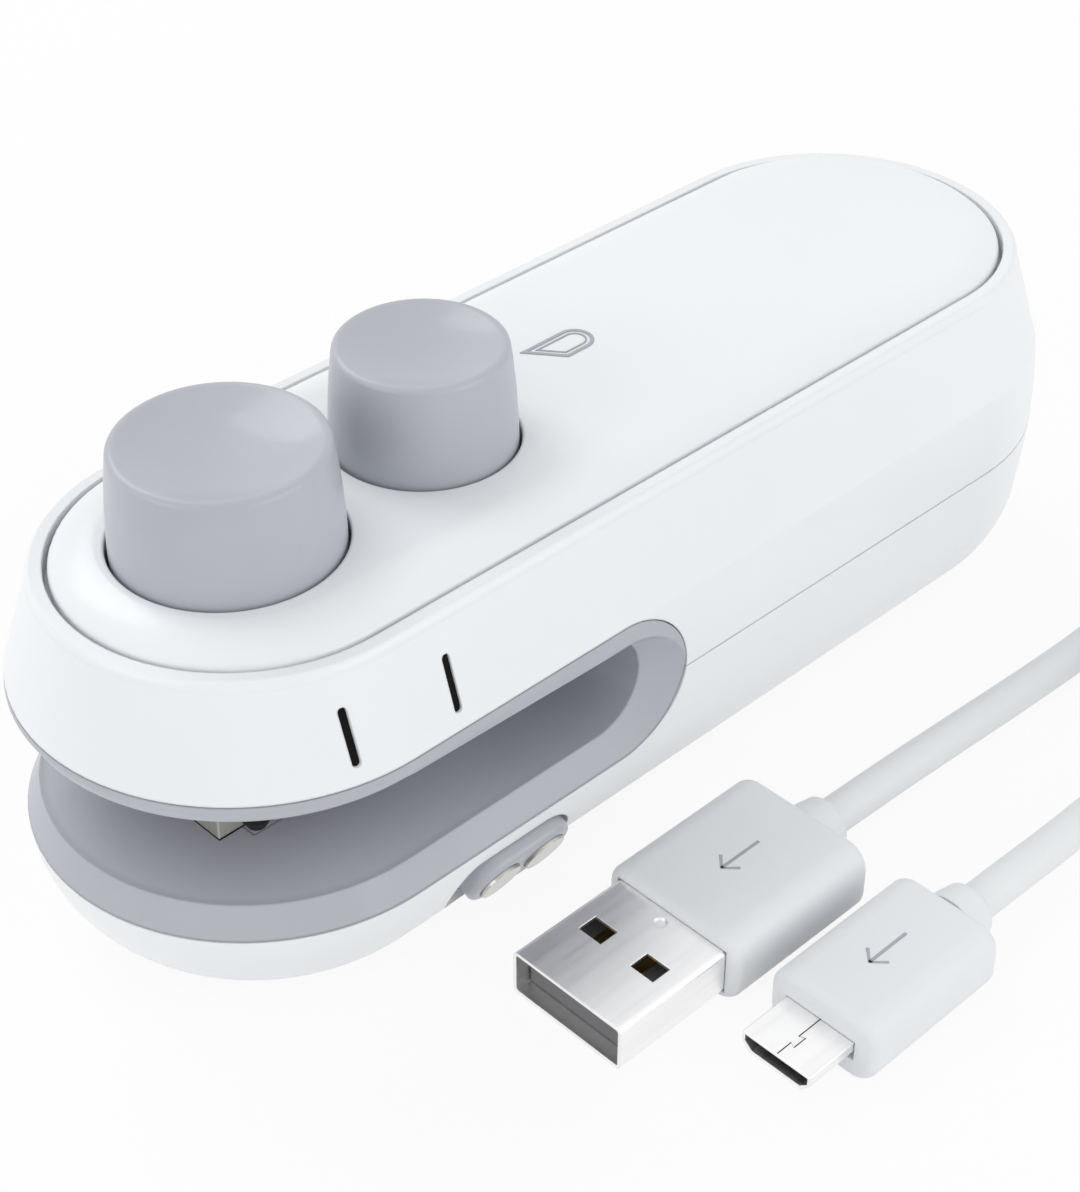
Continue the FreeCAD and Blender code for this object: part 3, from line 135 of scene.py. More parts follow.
def coil_point(turn):
    """A point of the coil, which runs inward on the floor, climbs in half a turn and runs out again."""
    low = CORD_DIAMETER / 2 + COIL_LIFT
    rise = CORD_DIAMETER + COIL_LIFT
    inner = COIL_OUTER_RADIUS - COIL_STEP * FLOOR_TURNS
    climb_end = FLOOR_TURNS + CLIMB_TURNS
    if turn <= FLOOR_TURNS:
        radius = COIL_OUTER_RADIUS - COIL_STEP * turn
        height = low
    elif turn <= climb_end:
        share = (turn - FLOOR_TURNS) / CLIMB_TURNS
        radius = inner - CLIMB_DIP * math.sin(math.pi * share) ** 2
        height = low + rise * (1 - math.cos(math.pi * share)) / 2
    else:
        radius = inner + COIL_STEP * (turn - climb_end)
        height = low + rise
    x, y = COIL_CENTRE
    return (x + radius * math.cos(coil_angle(turn)), y + radius * math.sin(coil_angle(turn)), height)


coil_count = round(coil_turns * POINTS_PER_TURN)
coil_points = [coil_point(coil_turns * k / coil_count) for k in range(coil_count + 1)]
coil_floor = coil_points[0][2]
last_x, last_y, coil_top = coil_points[-1]
run_angle = coil_angle(coil_turns) - math.pi / 2

usb_route = [
    USB_COLLAR_END,
    (8.0, -31.5, 3.3),
    (18.5, -31.6, 2.8),
    (29.0, -31.7, 2.25),
    (39.0, -31.6, 1.8),
    (47.0, -31.5, coil_floor),
]
micro_route = [
    (last_x + RUN_OUT * math.cos(run_angle), last_y + RUN_OUT * math.sin(run_angle), coil_top),
    (23.4, -46.6, 3.15),
    (13.0, -46.6, 2.95),
    (6.8, -46.5, 3.1),
    MICRO_COLLAR_END,
]
lead_points = usb_route + coil_points + micro_route
print(len(lead_points), "control points for the lead")

# %% [markdown]
# ## One curve for the whole lead
# A curve gets its thickness from a bevel. The bevel's depth is multiplied by the radius of each control
# point, so a depth of 1 makes every point's radius the true radius of the cable, in metres.

# %% Draw the lead
STEPS_ALONG = 8
STEPS_ROUND = 6

lead_curve = bpy.data.curves.new("charging_lead", "CURVE")
lead_curve.dimensions = "3D"
lead_line = lead_curve.splines.new("NURBS")
lead_line.points.add(len(lead_points) - 1)
for control, place in zip(lead_line.points, lead_points):
    control.co = (*mm(*place), 1.0)
    control.radius = CORD_DIAMETER * MM / 2
lead_line.order_u = 3
lead_line.use_endpoint_u = True
lead_line.resolution_u = STEPS_ALONG
lead_curve.bevel_depth = 1.0
lead_curve.bevel_resolution = STEPS_ROUND
lead_curve.use_fill_caps = True
lead = put_in_scene("charging_lead", lead_curve)
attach(lead, "case")
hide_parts("cable_to_usb", "cable_coil", "cable_to_micro")

bpy.context.view_layer.update()
print("lead drawn, curve length", round(lead_line.calc_length(), 4), "m")

# %% [markdown]
# ## Writing materials as sums
# A material's nodes could be wired one by one, but the wiring hides the idea. Here a small class wraps a
# socket, and Python's own signs add the Math nodes, so a mask reads like the formula that it is. Any other
# node comes from one method, which takes its type, its settings and what goes into its sockets.

# %% A socket that can be added, multiplied and compared


class Wire:
    """A value that flows between nodes. The usual signs make Math nodes."""

    def __init__(self, maker, socket):
        self.maker = maker
        self.socket = socket

    def math(self, operation, *values):
        return self.maker.node(
            "ShaderNodeMath", {"operation": operation}, dict(enumerate(values))
        ).out(0)

    def __add__(self, other):
        return self.math("ADD", self, other)

    def __radd__(self, other):
        return self.math("ADD", other, self)

    def __sub__(self, other):
        return self.math("SUBTRACT", self, other)

    def __rsub__(self, other):
        return self.math("SUBTRACT", other, self)

    def __mul__(self, other):
        return self.math("MULTIPLY", self, other)

    def __rmul__(self, other):
        return self.math("MULTIPLY", other, self)

    def __pow__(self, other):
        return self.math("POWER", self, other)

    def at_least(self, other):
        return self.math("MAXIMUM", self, other)

    def wave(self):
        return self.math("SINE", self)

    def sway(self, amount):
        """A share from 0 to 1, turned into a swing about zero that is this wide in all."""
        return amount * (self - 0.5)

    def step(self, start, end):
        """0 below start, 1 above end, and smooth between."""
        return self.maker.node(
            "ShaderNodeMapRange",
            {"interpolation_type": "SMOOTHSTEP"},
            {"Value": self, "From Min": start, "From Max": end},
        ).out("Result")


class Made:
    """A node that was made, with its outputs as wires."""

    def __init__(self, maker, node):
        self.maker = maker
        self.node = node

    def out(self, name):
        return Wire(self.maker, self.node.outputs[name])


class Nodes:
    """A tree of nodes with one way of making any node."""

    def __init__(self, tree):
        self.tree = tree

    def node(self, kind, settings=None, inputs=None):
        node = self.tree.nodes.new(kind)
        for key, value in (settings or {}).items():
            setattr(node, key, value)
        for key, value in (inputs or {}).items():
            self.join(value, node.inputs[key])
        return Made(self, node)

    def join(self, value, socket):
        if isinstance(value, Wire):
            self.tree.links.new(value.socket, socket)
        else:
            socket.default_value = value

    def background_rays(self):
        """1 for the rays that should meet the white background, 0 for the rays that light things."""
        rays = self.node("ShaderNodeLightPath")
        return rays.out("Is Camera Ray").at_least(rays.out("Is Glossy Ray")).at_least(
            rays.out("Is Transmission Ray")
        )


print("shader signs ready")

# %% [markdown]
# ## What every finish is made of
# A material in Blender comes with a Principled shader, which has a socket for each thing that a surface can
# do. A finish here is such a material with a few helpers: a noise, a colour between two, and a relief whose
# depth is a real one. The relief also rounds the CAD edges a little, because no real edge is quite sharp.

# %% A finish and its helpers
BEVEL_SAMPLES = 4

# The Mix node's sockets are given by number, because its colour and number sockets share their names.
MIX_SHARE = 0
MIX_LOW_COLOUR = 6
MIX_HIGH_COLOUR = 7
MIX_COLOUR_OUT = 2


class Finish(Nodes):
    """A material whose nodes end in a Principled shader."""

    def __init__(self, name, **uniform):
        self.material = bpy.data.materials.new(name)
        self.material.use_nodes = True
        super().__init__(self.material.node_tree)
        self.shader = self.tree.nodes["Principled BSDF"]
        self.drive(**uniform)

    def drive(self, **sockets):
        """Set or join sockets of the Principled shader."""
        for socket, value in sockets.items():
            self.join(value, self.shader.inputs[socket.replace("_", " ")])

    def place(self):
        """Where the surface is, in metres from the row's origin."""
        return self.node("ShaderNodeTexCoord").out("Object")

    def across(self):
        """How far the surface is along x and along y."""
        split = self.node("ShaderNodeSeparateXYZ", inputs={"Vector": self.place()})
        return split.out("X"), split.out("Y")

    def stretched(self, scale):
        """The place with each axis stretched, for lines that run one way."""
        return self.node(
            "ShaderNodeMapping", inputs={"Vector": self.place(), "Scale": scale}
        ).out("Vector")

    def noise(self, scale, detail, place=None):
        return self.node(
            "ShaderNodeTexNoise",
            inputs={"Vector": place or self.place(), "Scale": scale, "Detail": detail},
        ).out("Fac")

    def between(self, low, high, share):
        """A colour between two, by a share from 0 to 1. Either may be a wire or three numbers."""
        low, high = (
            colour if isinstance(colour, Wire) else (*colour, 1.0) for colour in (low, high)
        )
        inputs = {MIX_SHARE: share, MIX_LOW_COLOUR: low, MIX_HIGH_COLOUR: high}
        return self.node("ShaderNodeMix", {"data_type": "RGBA"}, inputs).out(MIX_COLOUR_OUT)

    def relief(self, height, depth, strength, edge):
        """A bump of a real depth in metres, on edges that are rounded to a radius."""
        rounded = self.node("ShaderNodeBevel", {"samples": BEVEL_SAMPLES}, {"Radius": edge})
        return self.node(
            "ShaderNodeBump",
            inputs={
                "Height": height,
                "Distance": depth,
                "Strength": strength,
                "Normal": rounded.out("Normal"),
            },
        ).out("Normal")


finishes = {}
print("finish helpers ready")

# %% [markdown]
# ## White casing plastic
# The casing is moulded white plastic with a soft sheen. Real mouldings are never perfectly even: the tool's
# fine spark grain breaks the reflection, and the sheen wanders a little where the plastic cooled at different
# speeds. One noise could do either, but the two are of quite different size, so there are two.

# %% White casing
WHITE_LOW = (0.846, 0.872, 0.893)
WHITE_HIGH = (0.872, 0.896, 0.915)
WHITE_ROUGHNESS = 0.34
CASING_GRAIN = 5200.0
CASING_GRAIN_DEPTH = 0.000012
CASING_EDGE = 0.00025


def white_plastic(name):
    finish = Finish(name, IOR=1.5, Coat_Roughness=0.18)
    flow = finish.noise(scale=24.0, detail=3.0)
    grain = finish.noise(scale=CASING_GRAIN, detail=1.0)
    finish.drive(
        Base_Color=finish.between(WHITE_LOW, WHITE_HIGH, flow.step(0.35, 0.65)),
        Roughness=WHITE_ROUGHNESS + flow.sway(0.07) + grain.sway(0.05),
        Coat_Weight=0.12 + 0.1 * flow,
        Normal=finish.relief(grain, CASING_GRAIN_DEPTH, strength=0.35, edge=CASING_EDGE),
    )
    return finish


finishes["casing_white"] = white_plastic("casing_white")
print("white casing made")

# %% [markdown]
# ## Gray trim
# The buttons and the throat's lining are the same lavender gray plastic with a matt spark finish. A matt
# finish is mostly roughness, but close up it is a fine pebble, so the grain is coarser than on the casing.
#
# The lining's inside face is painted a shade paler towards the mouth. This is painted light, for the light
# that comes into the throat from ahead. The mask for that is a distance: how far a point lies from the middle
# of the jaw's round end.

# %% Gray trim
GRAY_LOW = (0.432, 0.446, 0.496)
GRAY_HIGH = (0.462, 0.476, 0.528)
PAD_LOW = (0.462, 0.474, 0.527)
PAD_HIGH = (0.492, 0.505, 0.559)
# Painted light: the paler gray that the throat's inside gets towards the mouth.
PAINTED_LIGHT_GRAY = (0.548, 0.562, 0.622)
JAW_MIDDLE_X = -0.0354
PAINTED_LIGHT_RADIUS = 0.0173
PAINTED_LIGHT_EDGE = 0.001
PAINTED_LIGHT_FADE = (0.014, 0.030)
TRIM_GRAIN_DEPTH = 0.000014
TRIM_EDGE = 0.0003


def painted_mouth_light(finish):
    """1 where the throat's inside gets painted light, 0 on the bevel and in the rear of the throat."""
    x, y = finish.across()
    ahead = (JAW_MIDDLE_X - x).at_least(0.0)
    reach = (ahead * ahead + y * y) ** 0.5
    return (1.0 - reach.step(PAINTED_LIGHT_RADIUS, PAINTED_LIGHT_RADIUS + PAINTED_LIGHT_EDGE)) * (0.0 - x).step(*PAINTED_LIGHT_FADE)


def gray_plastic(name, low=GRAY_LOW, high=GRAY_HIGH, roughness=0.46, grain=3600.0, inside=None):
    finish = Finish(name, IOR=1.48, Coat_Roughness=0.14)
    cloud = finish.noise(scale=60.0, detail=4.0)
    pebble = finish.noise(scale=grain, detail=2.0)
    colour = finish.between(low, high, cloud.step(0.3, 0.7))
    # Painted light: towards the mouth the throat's inside is mixed towards a paler gray.
    if inside:
        colour = finish.between(colour, inside, painted_mouth_light(finish))
    finish.drive(
        Base_Color=colour,
        Roughness=roughness + pebble.sway(0.08) + cloud.sway(0.06),
        Coat_Weight=0.3 + 0.15 * cloud,
        Normal=finish.relief(pebble, TRIM_GRAIN_DEPTH, strength=0.6, edge=TRIM_EDGE),
    )
    return finish


finishes["trim_gray"] = gray_plastic("trim_gray")
# The lining: the trim's gray, with painted light on the throat's inside.
finishes["throat_lining"] = gray_plastic("throat_lining", inside=PAINTED_LIGHT_GRAY)
finishes["pad_gray"] = gray_plastic("pad_gray", PAD_LOW, PAD_HIGH, roughness=0.6, grain=2200.0)
print("gray trim made")

# %% [markdown]
# ## Dark plastics
# The guide frame, the stems and the posts inside the jaws are dark, so that nothing bright shows in the gaps.
# Pure black would look like a hole. A very dark gray with a little grain still catches some light.

# %% Dark plastics
DARK_PLASTICS = {
    "frame_dark": dict(low=(0.018, 0.018, 0.021), high=(0.028, 0.028, 0.032), roughness=0.5),
    "chip_black": dict(
        low=(0.009, 0.009, 0.01), high=(0.016, 0.016, 0.017), roughness=0.5, grain=6000.0
    ),
    "post_black": dict(
        low=(0.004, 0.004, 0.005), high=(0.009, 0.009, 0.01), roughness=0.6, shine=0.15
    ),
    "heater_black": dict(
        low=(0.003, 0.003, 0.003), high=(0.007, 0.007, 0.007), roughness=0.7, grain=1800.0, shine=0.12
    ),
}
DARK_GRAIN_DEPTH = 0.00002
DARK_EDGE = 0.00015


def dark_plastic(name, low, high, roughness, grain=2600.0, shine=0.5):
    finish = Finish(name, IOR=1.47, Specular_IOR_Level=shine)
    cloud = finish.noise(scale=90.0, detail=3.0)
    pebble = finish.noise(scale=grain, detail=2.0)
    finish.drive(
        Base_Color=finish.between(low, high, cloud),
        Roughness=roughness + pebble.sway(0.1),
        Normal=finish.relief(pebble, DARK_GRAIN_DEPTH, strength=0.5, edge=DARK_EDGE),
    )
    return finish


for name, recipe in DARK_PLASTICS.items():
    finishes[name] = dark_plastic(name, **recipe)
print(len(DARK_PLASTICS), "dark plastics made")

# %% [markdown]
# ## Metals
# Each metal piece was worked in one direction: the plug shells are drawn strip, and the head and the blade
# are ground. Scratches could be modelled one by one, but a noise stretched along the work gives them all,
# both in the relief and in the roughness, so the highlight breaks up along them.

# %% Metals
METALS = {
    "plug_metal": dict(
        light=(0.95, 0.95, 0.95), dark=(0.86, 0.86, 0.865), roughness=0.33, stretch=(0.06, 1.0, 1.0)
    ),
    "head_steel": dict(
        light=(0.42, 0.42, 0.38), dark=(0.24, 0.24, 0.215), roughness=0.4, stretch=(1.0, 1.0, 0.05)
    ),
    "ribbon_metal": dict(
        light=(0.52, 0.49, 0.45), dark=(0.34, 0.31, 0.28), roughness=0.36, stretch=(1.0, 0.1, 1.0)
    ),
    "spring_steel": dict(
        light=(0.55, 0.56, 0.57), dark=(0.36, 0.36, 0.37), roughness=0.3, stretch=(1.0, 1.0, 0.2)
    ),
    "blade_steel": dict(
        light=(0.66, 0.67, 0.68), dark=(0.46, 0.46, 0.47), roughness=0.22, stretch=(1.0, 1.0, 0.08)
    ),
    "magnet_nickel": dict(
        light=(0.60, 0.60, 0.57), dark=(0.42, 0.42, 0.39), roughness=0.26, stretch=(0.3, 1.0, 1.0)
    ),
    "contact_gold": dict(
        light=(0.86, 0.62, 0.26), dark=(0.66, 0.44, 0.15), roughness=0.22, stretch=(0.2, 1.0, 1.0)
    ),
}
WORK_LINES = 1400.0
WORK_DEPTH = 0.000006
METAL_EDGE = 0.00012


def worked_metal(name, light, dark, roughness, stretch):
    finish = Finish(name, Metallic=1.0)
    strokes = finish.noise(WORK_LINES, detail=2.0, place=finish.stretched(stretch))
    stain = finish.noise(scale=130.0, detail=3.0)
    bright = (0.35 + 0.65 * strokes.step(0.2, 0.6)) * (0.7 + 0.3 * stain)
    finish.drive(
        Base_Color=finish.between(dark, light, bright),
        Roughness=roughness + strokes.sway(0.12) + stain.sway(0.08),
        Normal=finish.relief(strokes, WORK_DEPTH, strength=0.5, edge=METAL_EDGE),
    )
    return finish


for name, recipe in METALS.items():
    finishes[name] = worked_metal(name, **recipe)
print(len(METALS), "metals made")

# %% [markdown]
# ## The lead's soft plastics
# The lead and its mouldings are a softer white vinyl. It is a little warmer than the casing and its gloss is
# blurred. The plug bodies have a fine moulded grain and the cable a coarser one. The plugs' tongues, the red
# leads, the lamp and the battery's wrap differ only in colour, gloss and grain, so one helper makes them all.

# %% Soft plastics
SOFT_PLASTICS = {
    "plug_white": dict(
        low=(0.775, 0.795, 0.815), high=(0.815, 0.835, 0.855), roughness=0.42, grain=3000.0, depth=0.00002
    ),
    "cord_white": dict(
        low=(0.775, 0.795, 0.81), high=(0.82, 0.84, 0.855), roughness=0.38, grain=1500.0, depth=0.00003
    ),
    # Painted shade: both tongues are darker than their white plastic, for the shade inside the plugs' mouths; the
    # small plug's one is black.
    "tongue_gray": dict(
        low=(0.15, 0.15, 0.155), high=(0.19, 0.19, 0.195), roughness=0.5, grain=4000.0, depth=0.00001
    ),
    "tongue_black": dict(
        low=(0.006, 0.006, 0.006), high=(0.01, 0.01, 0.01), roughness=0.5, grain=4000.0, depth=0.00001
    ),
    "tie_white": dict(
        low=(0.70, 0.70, 0.70), high=(0.78, 0.78, 0.78), roughness=0.6, grain=1200.0, depth=0.00006
    ),
    "lead_red": dict(
        low=(0.28, 0.018, 0.014), high=(0.36, 0.026, 0.02), roughness=0.4, grain=2600.0, depth=0.00002
    ),
    "lamp_clear": dict(
        low=(0.62, 0.66, 0.64), high=(0.72, 0.75, 0.73), roughness=0.2, grain=2000.0, depth=0.00001
    ),
    "cell_wrap": dict(
        low=(0.012, 0.06, 0.20), high=(0.018, 0.08, 0.26), roughness=0.28, grain=900.0, depth=0.00004
    ),
}
VINYL_EDGE = 0.0003


def soft_plastic(name, low, high, roughness, grain, depth):
    finish = Finish(name, IOR=1.46)
    cloud = finish.noise(scale=70.0, detail=3.0)
    pebble = finish.noise(scale=grain, detail=2.0)
    finish.drive(
        Base_Color=finish.between(low, high, cloud),
        Roughness=roughness + pebble.sway(0.1),
        Normal=finish.relief(pebble, depth, strength=0.5, edge=VINYL_EDGE),
    )
    return finish


for name, recipe in SOFT_PLASTICS.items():
    finishes[name] = soft_plastic(name, **recipe)
print(len(SOFT_PLASTICS), "soft plastics made")

# %% [markdown]
# ## The circuit board
# A circuit board is woven glass cloth under green lacquer, and the weave shows through. An image of cloth
# could give it, but two crossed waves, one along each side of the board, do the same as a formula.

# %% Green board
LACQUER_LOW = (0.004, 0.045, 0.016)
LACQUER_HIGH = (0.008, 0.07, 0.026)
RADIANS_PER_METRE = 5200.0
WEAVE_DEPTH = 0.000008
BOARD_EDGE = 0.0001


def green_board(name):
    finish = Finish(name, IOR=1.5)
    x, y = finish.across()
    weave = (x * RADIANS_PER_METRE).wave() * (y * RADIANS_PER_METRE).wave()
    cloud = finish.noise(scale=80.0, detail=3.0)
    finish.drive(
        Base_Color=finish.between(LACQUER_LOW, LACQUER_HIGH, 0.5 + 0.25 * weave + 0.25 * cloud),
        Roughness=0.32 + 0.08 * cloud,
        Normal=finish.relief(weave, WEAVE_DEPTH, strength=0.5, edge=BOARD_EDGE),
    )
    return finish


finishes["board_green"] = green_board("board_green")
print("board made")

# %% [markdown]
# ## The mark on the lid
# Behind the small button the lid carries a small moulded sign. Here it is a plain generic one, the outline
# of a bag's corner drawn twice. A bump in the material could fake it, but a real ridge throws its own small
# shadow from every side. So each line is a low closed band with walls, made from one outline that can be set
# in by any width. The bands are gray, not the lid's white: painted shade, added to the real shadow they throw.

# %% The sign's outline
SIGN_TIP_X = 4.35
SIGN_MIDDLE_Y = 1.8
SIGN_RADIUS = 1.68
SIGN_CUT_TOP_X = -2.3
SIGN_CUT_LOW_X = 0.3
ARC_STEPS = 20


def sign_outline(inset):
    """The outline in the lid's plane: two straight sides, a round end and a slanting cut."""
    radius = SIGN_RADIUS - inset
    middle_x = SIGN_TIP_X - SIGN_RADIUS
    slant = (SIGN_CUT_LOW_X - SIGN_CUT_TOP_X) / (2 * SIGN_RADIUS)
    shift = inset * math.sqrt(1 + slant ** 2) - inset * slant
    points = []
    for k in range(ARC_STEPS + 1):
        angle = math.pi / 2 - math.pi * k / ARC_STEPS
        points.append((middle_x + radius * math.cos(angle), SIGN_MIDDLE_Y + radius * math.sin(angle)))
    points.append((SIGN_CUT_LOW_X + shift, SIGN_MIDDLE_Y - radius))
    points.append((SIGN_CUT_TOP_X + shift + 2 * inset * slant, SIGN_MIDDLE_Y + radius))
    return points


print("sign outline of", len(sign_outline(0.0)), "points")

# %% [markdown]
# ## From an outline to two ridges
# For each ridge the outline is drawn four times: at the ridge's outer edge just under the lid's top and just
# above it, and the same again, set in by the ridge's width. Faces between the four loops close the band. A
# curve with a bevel would be quicker, but it gets thinner where it turns a sharp corner.

# %% The sign as two low ridges
SIGN_RISE = 0.07
SIGN_SINK = 0.02
SIGN_LINES = ((0.0, 0.34), (0.62, 0.16))


def extent(name):
    """The smallest and largest x, y and z of a CAD node, in millimetres."""
    corners = [[value / MM for value in corner] for corner in nodes[name].bound_box]
    return [min(values) for values in zip(*corners)], [max(values) for values in zip(*corners)]


lid_top = extent("top_cover")[1][2]
sign_points = []
sign_faces = []
for inset, width in SIGN_LINES:
    start = len(sign_points)
    loops = []
    for edge, height in (
        (inset, lid_top - SIGN_SINK),
        (inset, lid_top + SIGN_RISE),
        (inset + width, lid_top + SIGN_RISE),
        (inset + width, lid_top - SIGN_SINK),
    ):
        loops.append([mm(x, y, height) for x, y in sign_outline(edge)])
    count = len(loops[0])
    for loop in loops:
        sign_points.extend(loop)
    for ring in range(len(loops)):
        low = start + ring * count
        high = start + (ring + 1) % len(loops) * count
        for k in range(count):
            after = (k + 1) % count
            sign_faces.append((low + k, low + after, high + after, high + k))
sign_mesh = bpy.data.meshes.new("lid_sign")
sign_mesh.from_pydata(sign_points, [], sign_faces)
# Painted shade: the ridges are the trim's gray, darker than the lid's own white.
sign_mesh.materials.append(finishes["trim_gray"].material)
sign = put_in_scene("lid_sign", sign_mesh)
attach(sign, "case")
print("lid sign with", len(sign_faces), "faces at", round(lid_top, 2), "mm")

# %% [markdown]
# ## Small lines on the plugs
# The small plug's shell is folded from sheet, and its edges meet in a dovetail on top. Each plug body carries
# a plain arrow that shows which way it goes in. Both are narrow bands along a few points, so one helper makes
# them: it walks along the points and sets a left and a right edge square to the way.

# %% A narrow band along a route
LINE_RISE = 0.02
LINE_SINK = 0.01
BAND_CORNERS = ((1, -LINE_SINK), (1, LINE_RISE), (-1, LINE_RISE), (-1, -LINE_SINK))


def narrow_band(name, routes, width, height, slot):
    """A flat raised line along each route, which is a list of points in a level plane."""
    points = []
    faces = []
    around = len(BAND_CORNERS)
    for route in routes:
        start = len(points)
        for k, (x, y) in enumerate(route):
            before = route[max(k - 1, 0)]
            after = route[min(k + 1, len(route) - 1)]
            way = Vector((after[0] - before[0], after[1] - before[1])).normalized() * width / 2
            for side, level in BAND_CORNERS:
                points.append(mm(x - side * way.y, y + side * way.x, height + level))
        for k in range(len(route) - 1):
            low = start + around * k
            high = low + around
            for edge in range(around):
                after = (edge + 1) % around
                faces.append((low + edge, low + after, high + after, high + edge))
        last = start + around * (len(route) - 1)
        faces.append(tuple(start + edge for edge in reversed(range(around))))
        faces.append(tuple(last + edge for edge in range(around)))
    mesh = bpy.data.meshes.new(name)
    mesh.from_pydata(points, [], faces)
    mesh.materials.append(finishes[slot].material)
    band = put_in_scene(name, mesh)
    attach(band, "case")
    return band


print("narrow bands", round(LINE_RISE + LINE_SINK, 3), "mm thick")

# %% [markdown]
# ## Where the small lines go
# Each line takes its place from the box of the CAD piece that carries it, so it sits on that piece's top face
# whatever its size. The dovetail steps aside and back along the shell's middle. An arrow is a shaft and two
# barbs, which are one more route.

# %% The dovetail and the two arrows
SEAM_WIDTH = 0.09
SEAM_STEPS = ((0.12, 0.0), (1.75, 0.0), (1.5, -0.5), (2.9, -0.5), (2.65, 0.0), (5.2, 0.0))
ARROW_WIDTH = 0.3
ARROW_LENGTH = 4.6
ARROW_BARB = 1.1

shell_low, shell_high = extent("micro_plug_shell")
shell_middle = (shell_low[1] + shell_high[1]) / 2
seam_route = [(shell_low[0] + along, shell_middle + across) for along, across in SEAM_STEPS]
plug_lines = [narrow_band("micro_plug_seam", [seam_route], SEAM_WIDTH, shell_high[2], "chip_black")]
for name in ("usb_plug_body", "micro_plug_body"):
    low, high = extent(name)
    x = (low[0] + high[0] - ARROW_LENGTH) / 2
    y = (low[1] + high[1]) / 2
    shaft = [(x, y), (x + ARROW_LENGTH, y)]
    barbs = [(x + ARROW_BARB, y - ARROW_BARB), (x, y), (x + ARROW_BARB, y + ARROW_BARB)]
    plug_lines.append(narrow_band(name + "_arrow", [shaft, barbs], ARROW_WIDTH, high[2], "trim_gray"))
print([line.name for line in plug_lines])

# %% [markdown]
# ## Where the lead leaves its first plug
# A curve is only a shape. This cell only turns the point where the lead leaves its first plug into metres.

# %% The lead's first end in metres
mm(*USB_COLLAR_END)

# %% [markdown]
# ## Give every piece its finish
# Each CAD node names its material slot in the record, and the lead says its own. A finish could be set by
# hand for each piece, but the record already knows it. Only the lining differs: it has the trim's gray with
# its inside painted paler towards the mouth, which is painted light.

# %% Assign finishes
# The lining's own finish carries painted light on the throat's inside.
OWN_FINISH = {"throat_liner": "throat_lining"}
slot_of = {entry["node"]: entry["material_slot"] for entry in frame["record"]["subparts"]}
for name, obj in nodes.items():
    finish = finishes[OWN_FINISH.get(name, slot_of[name])]
    obj.data.materials.clear()
    obj.data.materials.append(finish.material)
    for face in obj.data.polygons:
        face.use_smooth = True
lead_curve.materials.append(finishes["cord_white"].material)
print(len(set(slot_of.values())), "slots on", len(nodes), "nodes")

# %% [markdown]
# ## Springs on their buttons
# The CAD springs ride on their buttons as rigid pieces, so a pressed button would push them through the guide
# frame. A copy of each spring stands for it and rides on its button, and the share of its height that it
# would keep at the button's full travel is worked out. The frame's joints say which piece gives way, and how
# far each button goes.

# %% Springs
for joint in frame["joints"]:
    name = joint["deforming_nodes"][0]["node"]
    spring = put_in_scene(name + "_turns", nodes[name].data.copy())
    low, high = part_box(name)
    left = 1 - max(joint["range_m"]) / (high[2] - low[2])
    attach(spring, joint["child"])
    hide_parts(name)
    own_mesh(spring)
    print(spring.name, "keeps", round(left, 3), "of its height")

# %% [markdown]
# ## The lining's lip
# Under the upper jaw the lining shows as a narrow gray lip, and the moulded lip leans in towards the throat.
# From the front it looks nearly as wide as an upright one, but where the jaw turns away it thins to a line.
# The CAD lip is upright, so a copy of the lining stands for it here, with the lip's lower edge drawn in
# round the nose. Along the straight sides it comes back to the jaw's edge. The points of that edge are found
# by where they are: at the lip's lowest level, and farther out than its inner face.

# %% Lip that leans in
LIP_LOW_Z = 0.0233
LIP_RADIUS = 0.01915
LIP_OUTSIDE = 0.0193
LIP_REAR_X = -0.015
SAME_LEVEL = 0.00003

lining = put_in_scene("throat_lining", nodes["throat_liner"].data.copy())
drawn_in = 0
for vertex in lining.data.vertices:
    x, y, z = vertex.co
    middle = Vector((max(x, JAW_MIDDLE_X), 0.0, z))
    out = vertex.co - middle
    if abs(z - LIP_LOW_Z) > SAME_LEVEL or out.length < LIP_OUTSIDE:
        continue
    share = min(max((LIP_REAR_X - x) / (LIP_REAR_X - JAW_MIDDLE_X), 0.0), 1.0)
    vertex.co = middle + out * (1 + share * (LIP_RADIUS / out.length - 1))
    drawn_in += 1
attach(lining, "case")
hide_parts("throat_liner")
print(drawn_in, "points of the lip drawn in")

# %% [markdown]
# ## The white ground
# The sealer stands on a seamless white ground. The ground could be lit until it clips, but that light would
# wash out the white casing too. So the camera, and metal that mirrors the ground, see one that is nearly
# white by itself, and the lamps stay low enough for the casing to keep its tones. The contact shadow is still
# there, only soft.

# %% Floor
FLOOR_HALF = 2.0
SEEN_SHARE = 0.9
PAPER_LOW = (0.885, 0.885, 0.887)
PAPER_HIGH = (0.905, 0.905, 0.907)
WHITE_LIGHT = (1.0, 1.0, 1.0, 1.0)


def ground_finish():
    """Paper under the lamps, with plain white mixed in for the rays that meet the background."""
    finish = Finish("ground", Roughness=0.9, Specular_IOR_Level=0.1)
    paper = finish.noise(scale=600.0, detail=2.0)
    finish.drive(Base_Color=finish.between(PAPER_LOW, PAPER_HIGH, paper))
    lit = Wire(finish, finish.shader.outputs["BSDF"])
    shown = finish.node("ShaderNodeEmission", inputs={"Color": WHITE_LIGHT, "Strength": 1.0})
    # The Mix Shader's two shader sockets share a name, so its sockets are given by number.
    mixed = finish.node(
        "ShaderNodeMixShader",
        inputs={0: SEEN_SHARE * finish.background_rays(), 1: lit, 2: shown.out("Emission")},
    )
    finish.join(mixed.out("Shader"), finish.tree.nodes["Material Output"].inputs["Surface"])
    return finish


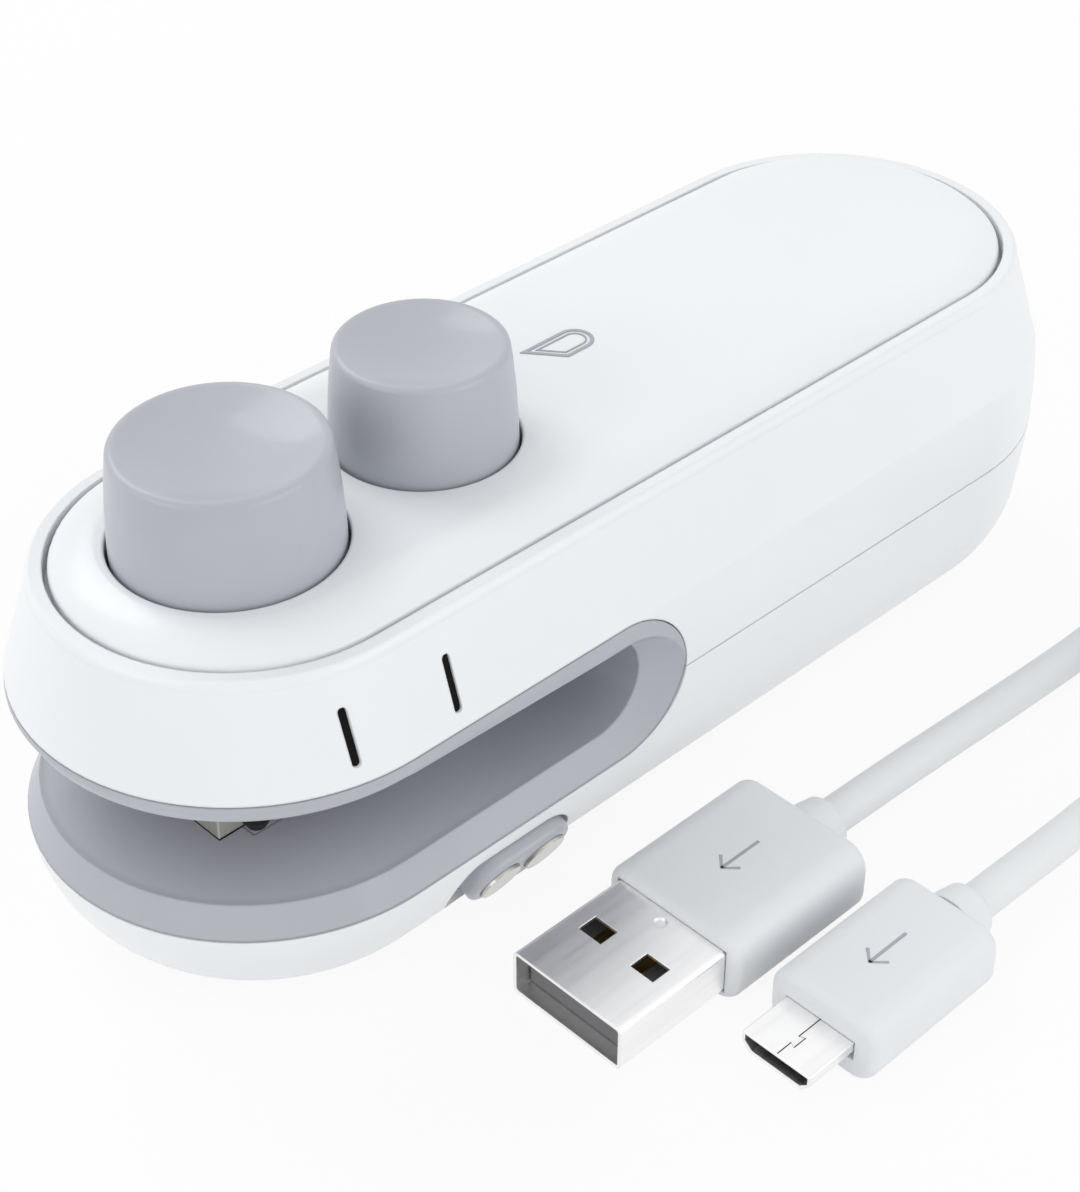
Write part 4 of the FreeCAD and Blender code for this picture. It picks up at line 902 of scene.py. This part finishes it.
corners = [(x * FLOOR_HALF, y * FLOOR_HALF, 0.0) for x, y in ((-1, -1), (1, -1), (1, 1), (-1, 1))]
floor_mesh = bpy.data.meshes.new("studio_floor")
floor_mesh.from_pydata(corners, [], [(0, 1, 2, 3)])
floor_mesh.materials.append(ground_finish().material)
floor = put_in_scene("studio_floor", floor_mesh)
print("floor laid", 2 * FLOOR_HALF, "m wide")

# %% [markdown]
# ## Light from all around
# In a studio with white walls most of the light comes from everywhere, and the world is that light. The rays
# that light things find it weaker than white, so that the casing keeps its tones. The rays that the camera, a
# mirror or glass sends out find plain white.

# %% World light
WORLD_STRENGTH = 0.72
world = bpy.data.worlds.new("studio")
bpy.context.scene.world = world
world.use_nodes = True
sky = Nodes(world.node_tree)
backdrop = sky.tree.nodes["Background"]
sky.join(WHITE_LIGHT, backdrop.inputs["Color"])
sky.join(WORLD_STRENGTH + (1.0 - WORLD_STRENGTH) * sky.background_rays(), backdrop.inputs["Strength"])
print("world light", WORLD_STRENGTH)

# %% [markdown]
# ## Three soft boxes
# Lamps several times as wide as the sealer throw soft shadows. One stands behind and above and lights the
# tops, one stands ahead of the nose and lights the throat, and one stands at the near side and lights the
# flank. They are weak, because the world already gives most of the light: they only shape it.

# %% Lamps
LAMP_AIM = Vector((0.0, 0.0, 0.02))
SOFT_BOXES = {
    "key_box": dict(place=(-0.02, 0.5, 0.55), size=0.4, watts=1.4),
    "mouth_box": dict(place=(-0.62, 0.05, 0.26), size=0.4, watts=0.68),
    "side_box": dict(place=(0.22, -0.65, 0.27), size=0.5, watts=1.25),
}


def soft_box(name, place, size, watts):
    """A square lamp that faces the sealer."""
    light = bpy.data.lights.new(name, "AREA")
    light.shape = "SQUARE"
    light.size = size
    light.energy = watts
    box = put_in_scene(name, light)
    box.location = place
    box.rotation_euler = (LAMP_AIM - box.location).to_track_quat("-Z", "Y").to_euler()


for name, settings in SOFT_BOXES.items():
    soft_box(name, **settings)
bpy.context.scene.view_settings.view_transform = "Standard"
print(len(SOFT_BOXES), "soft boxes")

# %% [markdown]
# ## The end
# The CAD model has the real size, and the dressed model must not outgrow it.

# %% The end
print("scene dressed")
